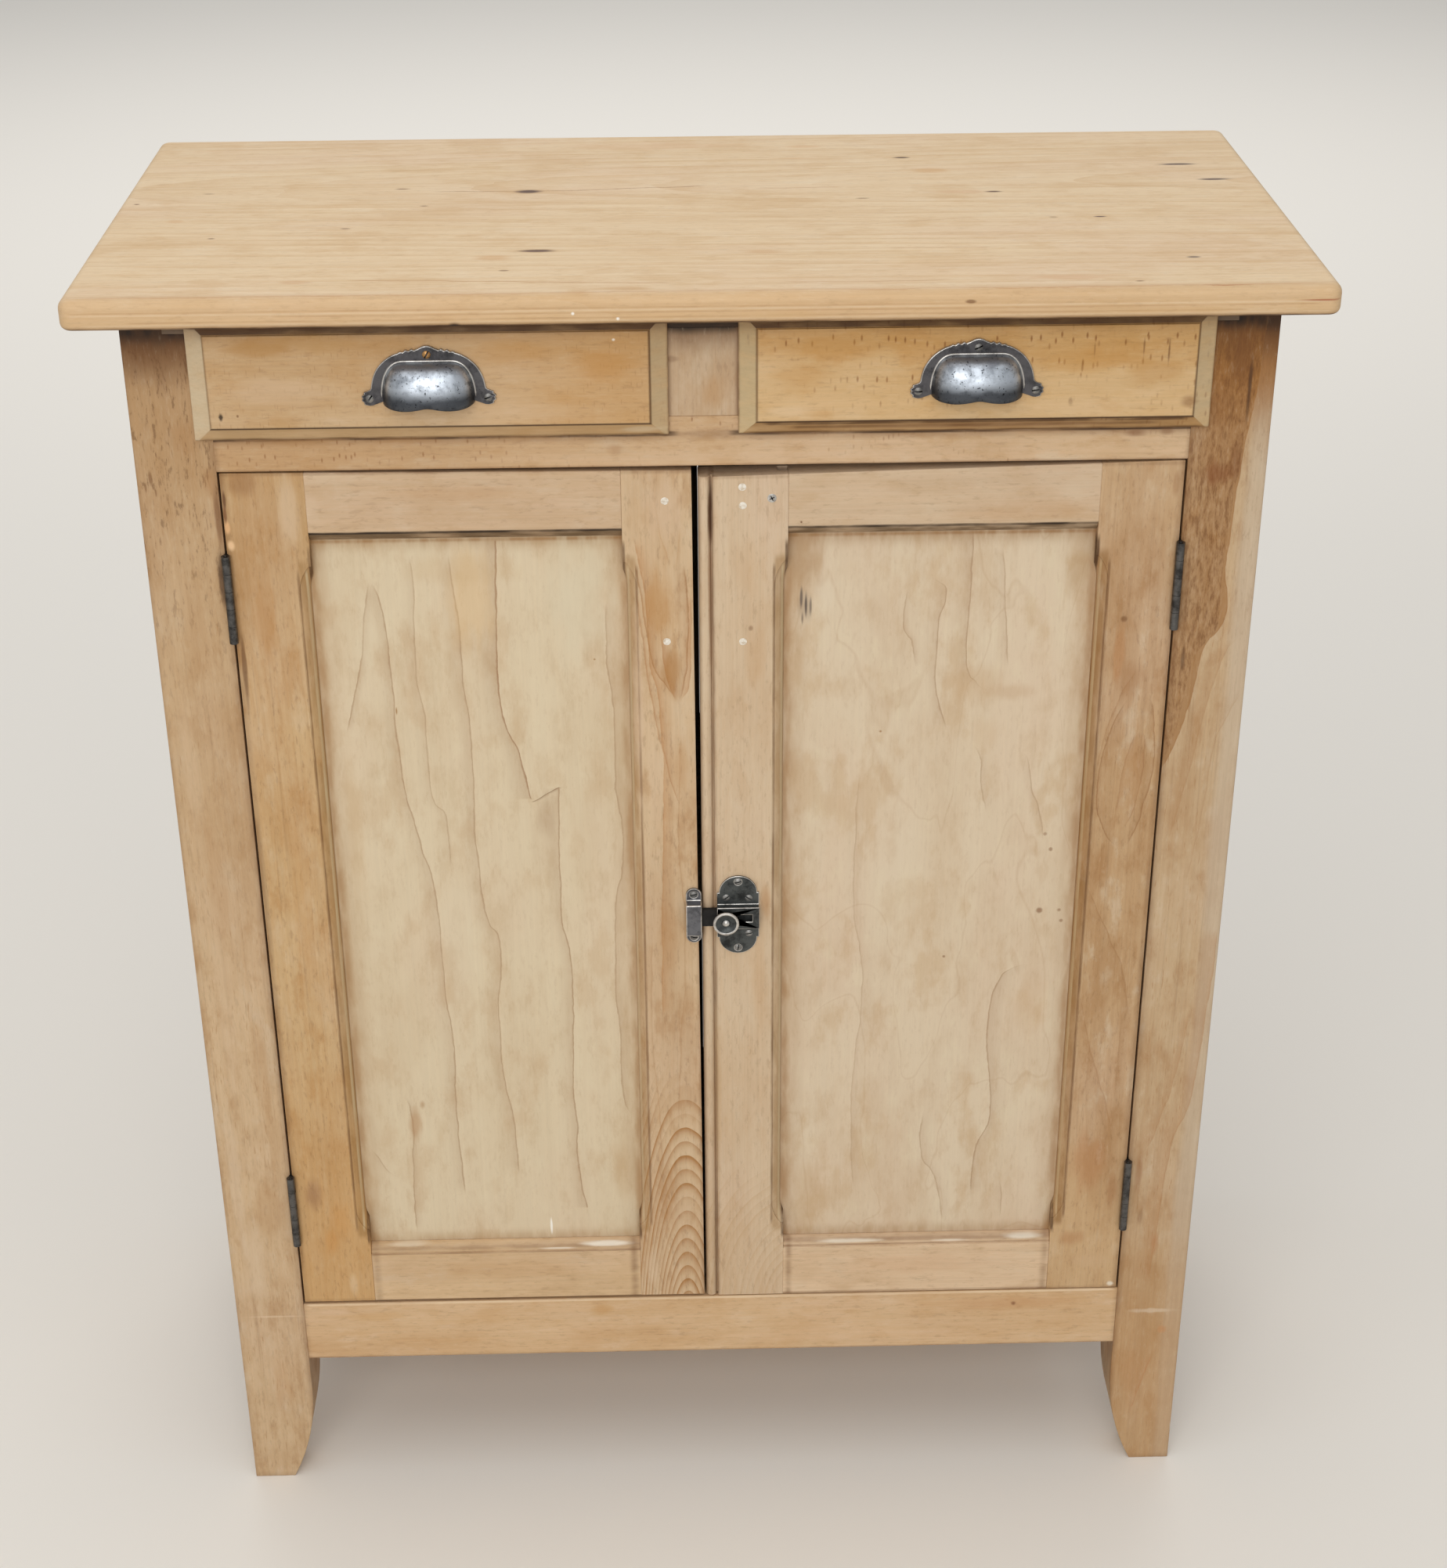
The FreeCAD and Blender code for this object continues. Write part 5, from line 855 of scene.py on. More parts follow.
growth = (150, 108, 70)
panelPlain = {
    "ring": 0.06, "ringSpacing": 30, "fibre": 0.025, "streak": 0.03, "vein": 0.008, "pores": 0.08,
    "relief": 0.05, "speck": 0.1, "wash": (222, 206, 174),
}
leftPanelLook = {
    **panelPlain, "seed": 12.0, "pale": (217, 198, 166), "deep": (192, 163, 124), "brown": (160, 116, 66),
    "pink": (216, 192, 162), "ringCentre": (-400, 300), "cloud": 0.22, "blush": 0.4, "mottle": 0.3,
    "blotch": 0.42, "blotchTone": (198, 168, 130),
    "lines": [
        {"points": [(868, -249), (845, -254), (817, -258), (791, -262), (771, -268), (740, -276)],
         "side": 1, "fade": 9, "strength": 0.55, "tone": growth},
        {"points": [(868, -249), (847, -242), (817, -239), (781, -237), (741, -237), (692, -233),
                    (639, -224), (600, -216), (557, -214), (501, -212), (436, -209), (370, -210),
                    (300, -207)], "side": -1, "fade": 16, "strength": 0.55, "tone": growth},
        {"points": [(890, -222), (866, -217), (829, -218), (790, -219), (760, -215), (698, -214),
                    (680, -211), (667, -203), (620, -201)], "side": -1, "fade": 14, "strength": 0.4,
         "tone": growth},
        {"points": [(890, -189), (851, -186), (816, -184), (776, -183), (744, -180), (691, -181),
                    (653, -181), (608, -179), (590, -178), (568, -173), (556, -167), (534, -166),
                    (484, -171), (435, -170), (386, -164), (320, -160)], "side": -1, "fade": 18,
         "strength": 0.5, "tone": growth},
        {"points": [(900, -154), (854, -155), (811, -157), (775, -157), (753, -155), (735, -149),
                    (723, -144), (708, -141), (692, -139), (681, -135)], "side": -1, "fade": 22,
         "strength": 0.75, "tone": (146, 100, 60), "tail": 2},
        {"points": [(679, -136), (682, -130), (685, -126), (688, -121), (692, -115)], "side": 1, "fade": 5,
         "soft": 0.5, "strength": 0.8, "tone": (126, 90, 58), "tail": 0.5},
        {"points": [(692, -115), (678, -115), (637, -116), (576, -116), (524, -110), (434, -112),
                    (368, -111), (285, -105)], "side": -1, "fade": 16, "strength": 0.6, "tone": growth,
         "tail": 2},
        {"points": [(850, -73), (810, -75), (783, -73), (747, -71), (696, -71), (642, -67), (615, -68),
                    (597, -72), (513, -75), (466, -73), (417, -73), (380, -62)], "side": 1, "fade": 10,
         "strength": 0.45, "tone": growth},
        {"points": [(404, -253), (378, -248), (337, -250), (262, -251)], "side": 1, "fade": 9,
         "strength": 0.5, "tone": growth},
        {"points": [(352, -284), (345, -280), (325, -268), (322, -262)], "side": -1, "fade": 9,
         "strength": 0.4, "tone": growth},
    ],
    # along the top rail (z 901 and 900): dirt with painted shade below the moulding; along the stiles: dirt
    "dirtAndShade": [("x", -290, 20, 0.42), ("x", -290, 6, 0.5), ("x", -60, 20, 0.42), ("x", -60, 6, 0.5),
             ("z", 901, 14, 0.5), ("z", 900, 2.5, 0.7), ("z", 257, 12, 0.4)],
    "marks": [
        (-125, 666, 9, 22, 0.3, (164, 132, 100)), (-128, 640, 14, 50, 0.2, (184, 152, 118)),
        (-176, 850, 22, 50, 0.35, (216, 178, 124)), (-95, 850, 30, 60, 0.35, (212, 200, 172)),
        (-245, 377, 7, 18, 0.5, (176, 130, 84)), (-238, 395, 3, 6, 0.5, (160, 112, 66)),
        (-95, 640, 14, 60, 0.2, (198, 168, 132)), (-180, 876, 50, 14, 0.25, (196, 164, 120)),
        (-136, 268, 1.2, 10, 0.9, (248, 242, 230)), (-236, 760, 1, 4, 0.8, "brown"),
        (-84, 801, 1.2, 1.2, 0.8, "brown"), (-275, 650, 8, 90, 0.25, (200, 168, 124)),
        (-200, 560, 20, 80, 0.25, (220, 204, 176)), (-255, 830, 10, 40, 0.3, (222, 206, 176)),
        (-75, 330, 10, 40, 0.3, (190, 156, 112)),
    ],
}
rightPanelLook = {
    **panelPlain, "seed": 13.0, "pale": (217, 197, 168), "deep": (192, 160, 122), "brown": (156, 112, 64),
    "pink": (216, 190, 162), "ringCentre": (420, 300), "cloud": 0.25, "blush": 0.45, "mottle": 0.32,
    "stain": 0.16, "blotch": 0.45, "blotchTone": (196, 164, 124),
    "lines": [
        {"points": [(866, 158), (860, 176), (853, 181), (828, 176), (806, 175), (778, 175), (754, 180),
                    (735, 186)], "side": -1, "fade": 14, "strength": 0.5, "tone": growth},
        {"points": [(858, 152), (828, 149), (811, 156), (790, 159)], "side": 1, "fade": 8, "strength": 0.4,
         "tone": growth},
        {"points": [(905, 199), (872, 200), (842, 199), (813, 197), (791, 198), (777, 206), (768, 218)],
         "side": -1, "fade": 16, "strength": 0.5, "tone": growth},
        {"points": [(890, 222), (841, 226), (808, 228), (786, 230)], "side": -1, "fade": 14,
         "strength": 0.4, "tone": growth},
        {"points": [(724, 196), (711, 212), (692, 213), (662, 219)], "side": 1, "fade": 10, "strength": 0.4,
         "tone": growth},
        {"points": [(716, 242), (710, 249), (681, 254), (666, 260), (636, 265)], "side": -1, "fade": 10,
         "strength": 0.4, "tone": growth},
        {"points": [(526, 284), (523, 262), (519, 246), (509, 236), (488, 230), (448, 228), (393, 234),
                    (370, 233), (339, 223), (290, 222)], "side": 1, "fade": 18, "strength": 0.55,
         "tone": growth},
        {"points": [(380, 178), (343, 176), (312, 189), (262, 198)], "side": 1, "fade": 12, "strength": 0.4,
         "tone": growth},
        {"points": [(265, 247), (299, 247), (308, 240)], "side": -1, "fade": 7, "strength": 0.4,
         "tone": growth},
        {"points": [(700, 120), (600, 116), (500, 124), (400, 118), (300, 122)], "side": 1, "fade": 12,
         "strength": 0.3, "tone": growth},
    ],
    # along the top rail (z 901 and 900): dirt with painted shade below the moulding; along the stiles: dirt
    "dirtAndShade": [("x", 61, 22, 0.4), ("x", 61, 7, 0.5), ("x", 290, 20, 0.32), ("x", 290, 7, 0.5),
             ("z", 901, 16, 0.55), ("z", 900, 2.5, 0.7), ("z", 256, 12, 0.4)],
    "marks": [
        (76, 880, 18, 34, 0.45, (164, 124, 78)), (75, 842, 7, 15, 0.35, (140, 118, 98)),
        (72, 849, 1.4, 10, 0.8, (92, 80, 72)), (75.5, 843, 1.3, 12, 0.85, (78, 66, 60)),
        (79, 843, 1.2, 9, 0.7, (96, 82, 74)), (73, 832, 1.2, 7, 0.7, (100, 82, 70)),
        (90, 850, 12, 20, 0.3, (222, 206, 180)), (232, 768, 22, 8, 0.3, (184, 144, 102)),
        (134, 736, 1.6, 1.6, 0.8, "brown"), (265, 573, 3, 3, 0.7, (130, 84, 48)),
        (281, 573, 2, 2, 0.6, (130, 84, 48)), (283, 563, 2, 2, 0.6, (130, 84, 48)),
        (271, 629, 2, 2, 0.6, (130, 84, 48)), (266, 643, 2, 2, 0.5, (130, 84, 48)),
        (190, 531, 1.6, 1.6, 0.7, (130, 84, 48)), (84, 300, 14, 40, 0.35, (184, 146, 100)),
        (262, 480, 18, 34, 0.25, (196, 160, 118)), (150, 600, 30, 90, 0.2, (222, 206, 180)),
        (125, 680, 16, 34, 0.35, (190, 154, 110)), (205, 775, 26, 22, 0.35, (192, 156, 114)),
        (215, 730, 12, 20, 0.25, (196, 160, 118)), (278, 872, 12, 28, 0.35, (166, 128, 80)),
    ],
}
dress(woodFinish("leftPanelWood", **leftPanelLook), "left_door_panel")
dress(woodFinish("rightPanelWood", **rightPanelLook), "right_door_panel")

# Sides, back and inside

sideLook = {
    "across": "y", "pale": (205, 175, 136), "deep": (180, 140, 94), "ring": 0.45, "ringCentre": (-300, 400),
    "ringSpacing": 12, "cloud": 0.4, "seed": 14.0,
    "dirtAndShade": [("z", 1010, 14, 0.5), ("z", 212, 10, 0.4), ("y", -133, 10, 0.4), ("y", 157, 10, 0.4)],
    "marks": [
        (40, 760, 6, 9, 0.8, (104, 66, 38)), (-70, 420, 5, 7, 0.7, (110, 70, 40)),
        (90, 520, 12, 60, 0.3, (178, 130, 80)),
    ],
}
sideRailLook = {
    "grain": "y", "across": "z", "pale": (203, 172, 132), "deep": (178, 138, 92), "ring": 0.2,
    "ringCentre": (900, 0), "ringSpacing": 8, "seed": 15.0,
    "dirtAndShade": [("z", 1076, 14, 0.45), ("z", 1006, 3, 0.4), ("z", 135, 3, 0.4)],
}
backLook = {
    "pale": (188, 154, 112), "deep": (152, 112, 70), "ring": 0.3, "ringCentre": (0, 300), "ringSpacing": 16,
    "cloud": 0.5, "seed": 16.0, "streak": 0.12,
    "dirtAndShade": [("z", 1076, 40, 0.4), ("z", 135, 20, 0.4)],
    "marks": [
        (-220, 700, 8, 11, 0.85, (92, 58, 34)), (90, 430, 7, 10, 0.85, (92, 58, 34)),
        (260, 860, 6, 8, 0.8, (92, 58, 34)),
    ],
}
backRailLook = {"grain": "x", "across": "z", "pale": (188, 154, 112), "deep": (152, 112, 70),
                "ringCentre": (900, 0), "seed": 17.0}
innerLook = {
    "pale": (192, 158, 114), "deep": (158, 118, 74), "ring": 0.45, "ringCentre": (300, 0), "cloud": 0.45,
}
dress(woodFinish("sideWood", **sideLook), "left_side_panel", "right_side_panel")
sideRails = [f"{word}_side_{piece}" for word in ("left", "right") for piece in ("top_rail", "bottom_rail")]
doorRails = [f"{word}_door_{piece}" for word in ("left", "right") for piece in ("top_rail", "bottom_rail")]
doorStiles = [f"{word}_door_{piece}" for word in ("left", "right")
              for piece in ("hinge_stile", "meeting_stile")]
drawerBoards = [f"{word}_drawer_{piece}" for word in ("left", "right")
                for piece in ("inner_side", "outer_side", "bottom")]
dress(woodFinish("sideRailWood", **sideRailLook), *sideRails)
dress(woodFinish("backWood", **backLook), "back_boards")
dress(woodFinish("backRailWood", **backRailLook), "back_top_rail", "back_mid_rail", "back_bottom_rail")
dress(woodFinish("innerAcrossWood", **innerLook, grain="x", across="y", ringSpacing=14, seed=18.0),
      "cupboard_floor", "shelf", "left_drawer_back", "right_drawer_back")
dress(woodFinish("innerDeepWood", **innerLook, grain="y", across="x", ringSpacing=9, seed=19.0),
      "shelf_cleats", "side_drawer_runners", "centre_drawer_runner", *drawerBoards)
soften(0.7, "front_left_post", "front_right_post", "back_left_post", "back_right_post", "mid_rail",
       "bottom_rail", "drawer_divider", *sideRails, *doorRails, "left_drawer_front", "right_drawer_front")
soften(0.35, *doorStiles)
print("woods set")


# Iron: pitted, burnished and dark in the hollows, with painted highlights on worn edges and painted
# reflections on the cups

ironPlain = {
    "bright": (118, 116, 114), "dark": (54, 52, 50), "metal": 0.85, "roughness": 0.4, "grime": 0.7,
    "pits": 0.6, "pitScale": 700, "pitLevel": 0.62, "pitTone": (20, 20, 22), "relief": 0.3, "middle": 0,
    "paintedReflections": [],
}


def ironFinish(name, **look):
    look = {**ironPlain, **look}
    sheet = NodeSheet(name)
    # distance sideways from the middle of either pull
    sheet.axis["out"] = sheet.apart(sheet.math("ABSOLUTE", sheet.axis["x"]), look["middle"] * mm)
    patch = sheet.noise(sheet.place, detail=5, roughness=0.65, scale=95)
    spot = sheet.noise(sheet.place, detail=2, roughness=0.6, scale=look["pitScale"])
    pit = sheet.ramp(spot, look["pitLevel"], look["pitLevel"] + 0.06)
    pit = sheet.product(pit, sheet.ramp(patch, 0.42, 0.55, 0.25, 1))
    grime = sheet.ramp(patch, 0.4, 0.7, 0, look["grime"])
    colour = sheet.blend(grime, linear(look["bright"]), linear(look["dark"]))
    # painted reflections along one axis: (axis, from, to, strength, colour), with an uneven border
    for axis, low, high, strength, paint in look["paintedReflections"]:
        place = sheet.math("ADD", sheet.axis[axis], sheet.swing(patch, 12 * mm))
        colour = sheet.blend(sheet.reach(place, low, high, 0, strength), colour, linear(paint))
    colour = sheet.blend(sheet.product(pit, look["pits"]), colour, linear(look["pitTone"]))
    sheet.feed(sheet.shader.inputs["Base Color"], colour)
    sheet.shader.inputs["Metallic"].default_value = look["metal"]
    roughness = sheet.ramp(patch, 0.3, 0.75, look["roughness"], look["roughness"] + 0.2)
    sheet.feed(sheet.shader.inputs["Roughness"], roughness)
    sheet.bump(sheet.total(sheet.product(pit, -1.5), patch), look["relief"], 0.3 * mm)
    return sheet.material


# the cup's steel, darkened low down and at its ends and dimmed at the top so that a bright band is left
# across the middle: painted reflection
cupIronLook = {
    "bright": (204, 211, 219), "dark": (128, 134, 142), "roughness": 0.36, "grime": 0.75,
    "pits": 0.95, "pitScale": 520, "pitLevel": 0.615, "middle": 194.5,
    "paintedReflections": [("z", 1029, 1019, 0.9, (46, 48, 54)), ("out", 26, 32, 0.75, (60, 60, 64)),
               ("z", 1037, 1042, 0.5, (116, 116, 122))],
}
cupIron = ironFinish("cupIron", **cupIronLook)
flangeIron = ironFinish("flangeIron", bright=(92, 90, 92), dark=(44, 43, 44), metal=0.7, roughness=0.45)
# pale iron for worn edges, the pulls' beads and flange edges, and the knob's rim and dome: wear with a
# painted highlight
wornHighlightIron = ironFinish("wornHighlightIron", bright=(214, 210, 204), dark=(120, 114, 106), roughness=0.3, grime=0.75,
                      pits=0.2)
latchIron = ironFinish("latchIron", bright=(84, 87, 86), dark=(30, 30, 29), metal=0.7, roughness=0.4,
                       grime=0.85)
# dark iron for screw slots, the cross arms and the bolt: painted shade in the slots, rust with painted
# shade on the bolt
shadeAndRustIron = ironFinish("shadeAndRustIron", bright=(34, 32, 30), dark=(18, 17, 16), metal=0.4, roughness=0.6)
brassMetal = ironFinish("brassMetal", bright=(196, 150, 96), dark=(128, 88, 48), roughness=0.38, pits=0.2)
keeperIron = ironFinish("keeperIron", bright=(112, 112, 116), dark=(56, 56, 58), metal=0.75, roughness=0.4)
hingeIron = ironFinish("hingeIron", bright=(100, 98, 96), dark=(30, 28, 26), metal=0.9, roughness=0.26,
                       grime=0.8)
screwMetal = ironFinish("screwMetal", bright=(150, 148, 144), dark=(70, 66, 62), grime=0.6, pits=0.3)
dress(flangeIron, "left_cup_pull", "right_cup_pull")
dress(latchIron, "latch_plate", "latch_knob", "latch_screws", "keeper_screws")
dress(shadeAndRustIron, "latch_bolt")
dress(keeperIron, "latch_keeper")
for word in ("left", "right"):
    dress(hingeIron, f"{word}_hinge_post_leaves", f"{word}_hinge_door_leaves", f"{word}_hinge_pins")
dress(screwMetal, "left_pull_screws", "right_pull_screws")
for name, width in {"latch_plate": 0.45, "latch_keeper": 0.7}.items():
    # the bevelled edges in pale worn iron: wear with a painted highlight
    nodes[name].data.materials.append(wornHighlightIron)
    soften(width, name)
    nodes[name].modifiers["wornEdge"].material = 1
print("irons set")


# New pieces: grids of points turned into closed meshes

def gridFaces(rows, columns, wrapRows=False, wrapColumns=False):
    index = np.arange(rows * columns).reshape(rows, columns)
    if wrapRows:
        index = np.concatenate([index, index[:1]], axis=0)
    if wrapColumns:
        index = np.concatenate([index, index[:, :1]], axis=1)
    corners = [index[:-1, :-1], index[:-1, 1:], index[1:, 1:], index[1:, :-1]]
    return np.stack(corners, axis=-1).reshape(-1, 4).tolist()


def meshPiece(name, shells, *materials):
    # shells: (points, faces) pairs in metres, with one material each or one for all
    points, faces, slots, start = [], [], [], 0
    for order, (shellPoints, shellFaces) in enumerate(shells):
        flat = np.asarray(shellPoints, float).reshape(-1, 3)
        points.extend(flat.tolist())
        faces.extend([[corner + start for corner in face] for face in shellFaces])
        slots.extend([order if len(materials) > 1 else 0] * len(shellFaces))
        start += len(flat)
    mesh = bpy.data.meshes.new(name)
    mesh.from_pydata(points, [], faces)
    for material in materials:
        mesh.materials.append(material)
    mesh.polygons.foreach_set("material_index", np.array(slots, np.int32))
    sculpt = bmesh.new()  # doubles are merged and faces turned outwards
    sculpt.from_mesh(mesh)
    bmesh.ops.remove_doubles(sculpt, verts=sculpt.verts, dist=1e-7)
    bmesh.ops.recalc_face_normals(sculpt, faces=sculpt.faces)
    sculpt.to_mesh(mesh)
    sculpt.free()
    mesh.polygons.foreach_set("use_smooth", np.full(len(mesh.polygons), True))
    piece = bpy.data.objects.new(name, mesh)
    bpy.context.scene.collection.objects.link(piece)
    return piece


def turned(profile, centre, steps=48):
    # profile (radius, height) turned round a level axis through the centre, height towards the front
    profile = np.asarray(profile, float)
    angle = np.linspace(0, 2 * math.pi, steps, endpoint=False)
    x = profile[:, :1] * np.cos(angle)
    z = profile[:, :1] * np.sin(angle)
    y = -np.repeat(profile[:, 1:], steps, axis=1)
    points = (np.stack([x, y, z], axis=-1) + np.asarray(centre, float)) * mm
    return points, gridFaces(len(profile), steps, wrapColumns=True)


# Cup pulls: a hollow cup on an arched flange with two ears and a finial

pullLook = {
    "halfWidth": 32.5, "depth": 20, "height": 30.7, "drop": 4.2, "topDepth": 3.4, "wall": 1.8,
    "levelPower": 2.5, "roundPower": 2.4, "lobeRadius": 54, "lobeSpread": 20.5, "lobeSoft": 4,
    "flangeHalf": 41, "flangeRise": 36, "flangePower": 2.5, "flangeThick": 2.2, "flangeMiddle": 11.0,
    "flangeReach": 70, "edgeInset": 14, "join": 3.0,
    "earSpread": 42, "earRadius": 5.4, "finialRise": 32, "finialRadius": 6.5,
    "scallop": 0.5, "scallopLong": 4.2, "scallopReach": (7, 23), "scallopLow": 20,
    "rib": 0.45, "ribLong": 2.9, "ribStart": 43, "ribHigh": 9,
    "beadOut": 0.8, "beadRound": 0.9,
}


def cupSkin(look, skin):
    # superellipse up the front, superellipse round the section, lower lip on two lobes
    level, turn = np.meshgrid(np.linspace(0, math.pi / 2, 26), np.linspace(0, math.pi, 73), indexing="ij")
    mouth, top = look["depth"] - skin, look["topDepth"] - skin
    deep = top + (mouth - top) * np.cos(level).clip(0) ** (2 / look["levelPower"])
    half = look["halfWidth"] - look["depth"] + deep
    side = np.cos(turn)
    x = half * np.sign(side) * np.abs(side) ** (2 / look["roundPower"])
    y = -deep * np.sin(turn).clip(0) ** (2 / look["roundPower"])
    away = np.sqrt(x ** 2 + look["lobeSoft"] ** 2) - look["lobeSpread"]
    lip = look["lobeRadius"] - np.sqrt(look["lobeRadius"] ** 2 - away ** 2)
    z = lip + (look["height"] - skin - lip) * np.sin(level) ** (2 / look["levelPower"])
    return np.stack([x, y, z - look["drop"]], axis=-1)


def cupShell(look):
    outer, inner = cupSkin(look, 0.0), cupSkin(look, look["wall"])
    outerLid, innerLid = outer[-1:].copy(), inner[-1:].copy()
    outerLid[..., 1] = innerLid[..., 1] = 0
    lip = (outer[:1] + inner[:1]) / 2 - np.array([0, 0, look["wall"] * 0.35])
    rows = np.concatenate([lip, outer, outerLid, innerLid, inner[::-1]])
    count, columns = rows.shape[:2]
    faces = gridFaces(count, columns, wrapRows=True)
    faces += [[row * columns + column for row in range(count)] for column in (0, columns - 1)]
    return rows, faces


def softLower(first, second, join):
    # the lower of two distances, rounded where they cross
    mix = np.clip(0.5 + 0.5 * (second - first) / join, 0, 1)
    return second + (first - second) * mix - join * mix * (1 - mix)


def earRibs(look, x, z):
    # ripples up the ears' outer ends
    start = np.clip((np.abs(x) - look["ribStart"]) / 2, 0, 1)
    return look["rib"] * start * np.cos(2 * math.pi * z / look["ribLong"])


def flangeDepth(look, x, z):
    # signed distance to the outline: arch, ribbed ears and finial joined softly, scallops beside the finial
    power = look["flangePower"]
    arch = (np.abs(x) / look["flangeHalf"]) ** power + (np.abs(z) / look["flangeRise"]) ** power
    arch = np.maximum((arch ** (1 / power) - 1) * look["flangeRise"], -z)
    ears = np.hypot(np.abs(x) - look["earSpread"], z) - look["earRadius"]
    finial = np.hypot(x, z - look["finialRise"]) - look["finialRadius"]
    shape = softLower(softLower(arch, ears, look["join"]), finial, look["join"])
    inner, outer = look["scallopReach"]
    near = np.clip((np.abs(x) - inner) / 2, 0, 1) * np.clip((outer - np.abs(x)) / 8, 0, 1)
    near = near * (z > look["scallopLow"])
    scallops = look["scallop"] * near * np.cos(2 * math.pi * x / look["scallopLong"])
    return shape + scallops + earRibs(look, x, z) * (np.abs(z) < look["ribHigh"])


def flangeShells(look):
    # rings from the back's middle over the rounded edge to the front's middle: edge and face as two shells
    turn = np.linspace(0, 2 * math.pi, 480, endpoint=False)
    reach = np.linspace(0, look["flangeReach"], 1401)
    middle = look["flangeMiddle"]
    inside = flangeDepth(look, reach[:, None] * np.cos(turn), middle + reach[:, None] * np.sin(turn)) < 0
    edge = reach[len(reach) - 1 - np.argmax(inside[::-1], axis=0)]
    insets = np.concatenate([[0, 0, 0.25, 0.8], np.linspace(1.5, look["edgeInset"], 14)])
    heights = np.concatenate([[0, 0.6, 0.88, 1.0], np.ones(14)]) * look["flangeThick"]
    radius = np.concatenate([[0 * edge], (edge - insets[:, None]).clip(0.5), [0 * edge]])
    height = np.concatenate([[0.0], heights, [look["flangeThick"]]])[:, None] * np.ones_like(edge)
    x = radius * np.cos(turn)
    z = middle + radius * np.sin(turn)
    y = -height - np.where(height >= look["flangeThick"], earRibs(look, x, z), 0)
    rows = np.stack([x, y, z], axis=-1)
    return [(part, gridFaces(*part.shape[:2], wrapColumns=True)) for part in (rows[:5], rows[4:])]


def beadShell(look):
    # round bead where cup and flange meet: a closed tube along the cup's foot line, moved outwards
    level = np.linspace(0.1, math.pi / 2, 50)
    power = 2 / look["levelPower"]
    deep = look["topDepth"] + (look["depth"] - look["topDepth"]) * np.cos(level).clip(0) ** power
    side = look["halfWidth"] - look["depth"] + deep + look["beadOut"] * np.cos(level)
    rise = look["height"] * np.sin(level) ** power - look["drop"] + look["beadOut"] * np.sin(level)
    flatTop = np.linspace(side[-1], -side[-1], 22)[1:-1]
    x = np.concatenate([side, flatTop, -side[::-1]])
    z = np.concatenate([rise, np.full_like(flatTop, rise[-1]), rise[::-1]])
    course = np.column_stack([x, z])
    ahead = np.gradient(course, axis=0)
    normal = np.column_stack([ahead[:, 1], -ahead[:, 0]]) / np.linalg.norm(ahead, axis=1)[:, None]
    around = np.linspace(0, 2 * math.pi, 12, endpoint=False)
    count = np.arange(len(course))
    size = look["beadRound"] * np.minimum(1, np.minimum(count, count[::-1]) / 3)[:, None]
    flat = course[:, None, :] + (size * np.cos(around))[..., None] * normal[:, None, :]
    y = -look["flangeThick"] - size * np.sin(around)
    rows = np.stack([flat[..., 0], y, flat[..., 1]], axis=-1)
    return rows, gridFaces(*rows.shape[:2], wrapColumns=True)


for word in ("left", "right"):
    low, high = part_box(f"{word}_cup_pull")
    seat = np.array([(low.x + high.x) / 2, high.y, low.z + pullLook["earRadius"] * mm])
    parts = [cupShell(pullLook), *flangeShells(pullLook), beadShell(pullLook)]
    shells = [(points * mm + seat, faces) for points, faces in parts]
    # the flange's edge and the bead in pale worn iron: wear with a painted highlight; the cup with painted
    # reflections
    pull = meshPiece(f"{word}CupPull", shells, cupIron, wornHighlightIron, flangeIron, wornHighlightIron)
    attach(pull, f"{word}_drawer")
    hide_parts(f"{word}_cup_pull")
print("cup pulls made")


# Latch knob, corner screws of the latch plate and filler dots on the doors

knobLook = {"stem": 2.8, "stemLong": 5.8, "flare": (1.2, 0.8), "rimMiddle": (9.1, 9.4), "rimRound": 1.2,
            "dish": 7.6, "shoulder": 0.8, "dome": 3.3, "domeTop": 10.6}
screwLook = {"round": 3.0, "high": 1.0, "slot": 0.5, "deep": 1.0, "sink": 0.2, "brassAt": (-194.5, 1049.5)}
screwPlaces = {
    "leftPullScrews": {"body": "left_drawer", "face": "left_pull_screws",
                       "heads": [(-236.5, 1017.5, 50), (-152.5, 1017.5, 20), (-194.5, 1049.5, 60)]},
    "rightPullScrews": {"body": "right_drawer", "face": "right_pull_screws",
                        "heads": [(152.5, 1017.5, 0), (236.5, 1017.5, 10), (194.5, 1049.5, 25)]},
    "latchPlateScrews": {"body": "right_door", "face": "latch_screws",
                         "heads": [(23.7, 610.3, 15), (23.7, 549.7, 80), (14.3, 596, 35),
                                   (32.1, 595.5, -30), (32.3, 563, 10), (14.5, 563.5, 0)]},
    "keeperHeads": {"body": "left_door", "face": "keeper_screws",
                    "heads": [(-11.4, 560.5, -12), (-11.4, 599.5, 12)]},
}
fillerLook = {
    "left": [(-29, 932), (-29, 819)],
    "right": [(28, 927.5), (28, 818), (27.7, 942)],
    "radius": 2.9, "high": 0.2, "pale": (236, 228, 214), "worn": (204, 186, 160), "panelSink": 9,
}
crossLook = {"at": (49.4, 933), "radius": 3.4, "high": 0.3, "turns": (25, 115), "armLong": 2.2,
             "armWide": 0.45, "armLow": 0.2, "armHigh": 0.36}


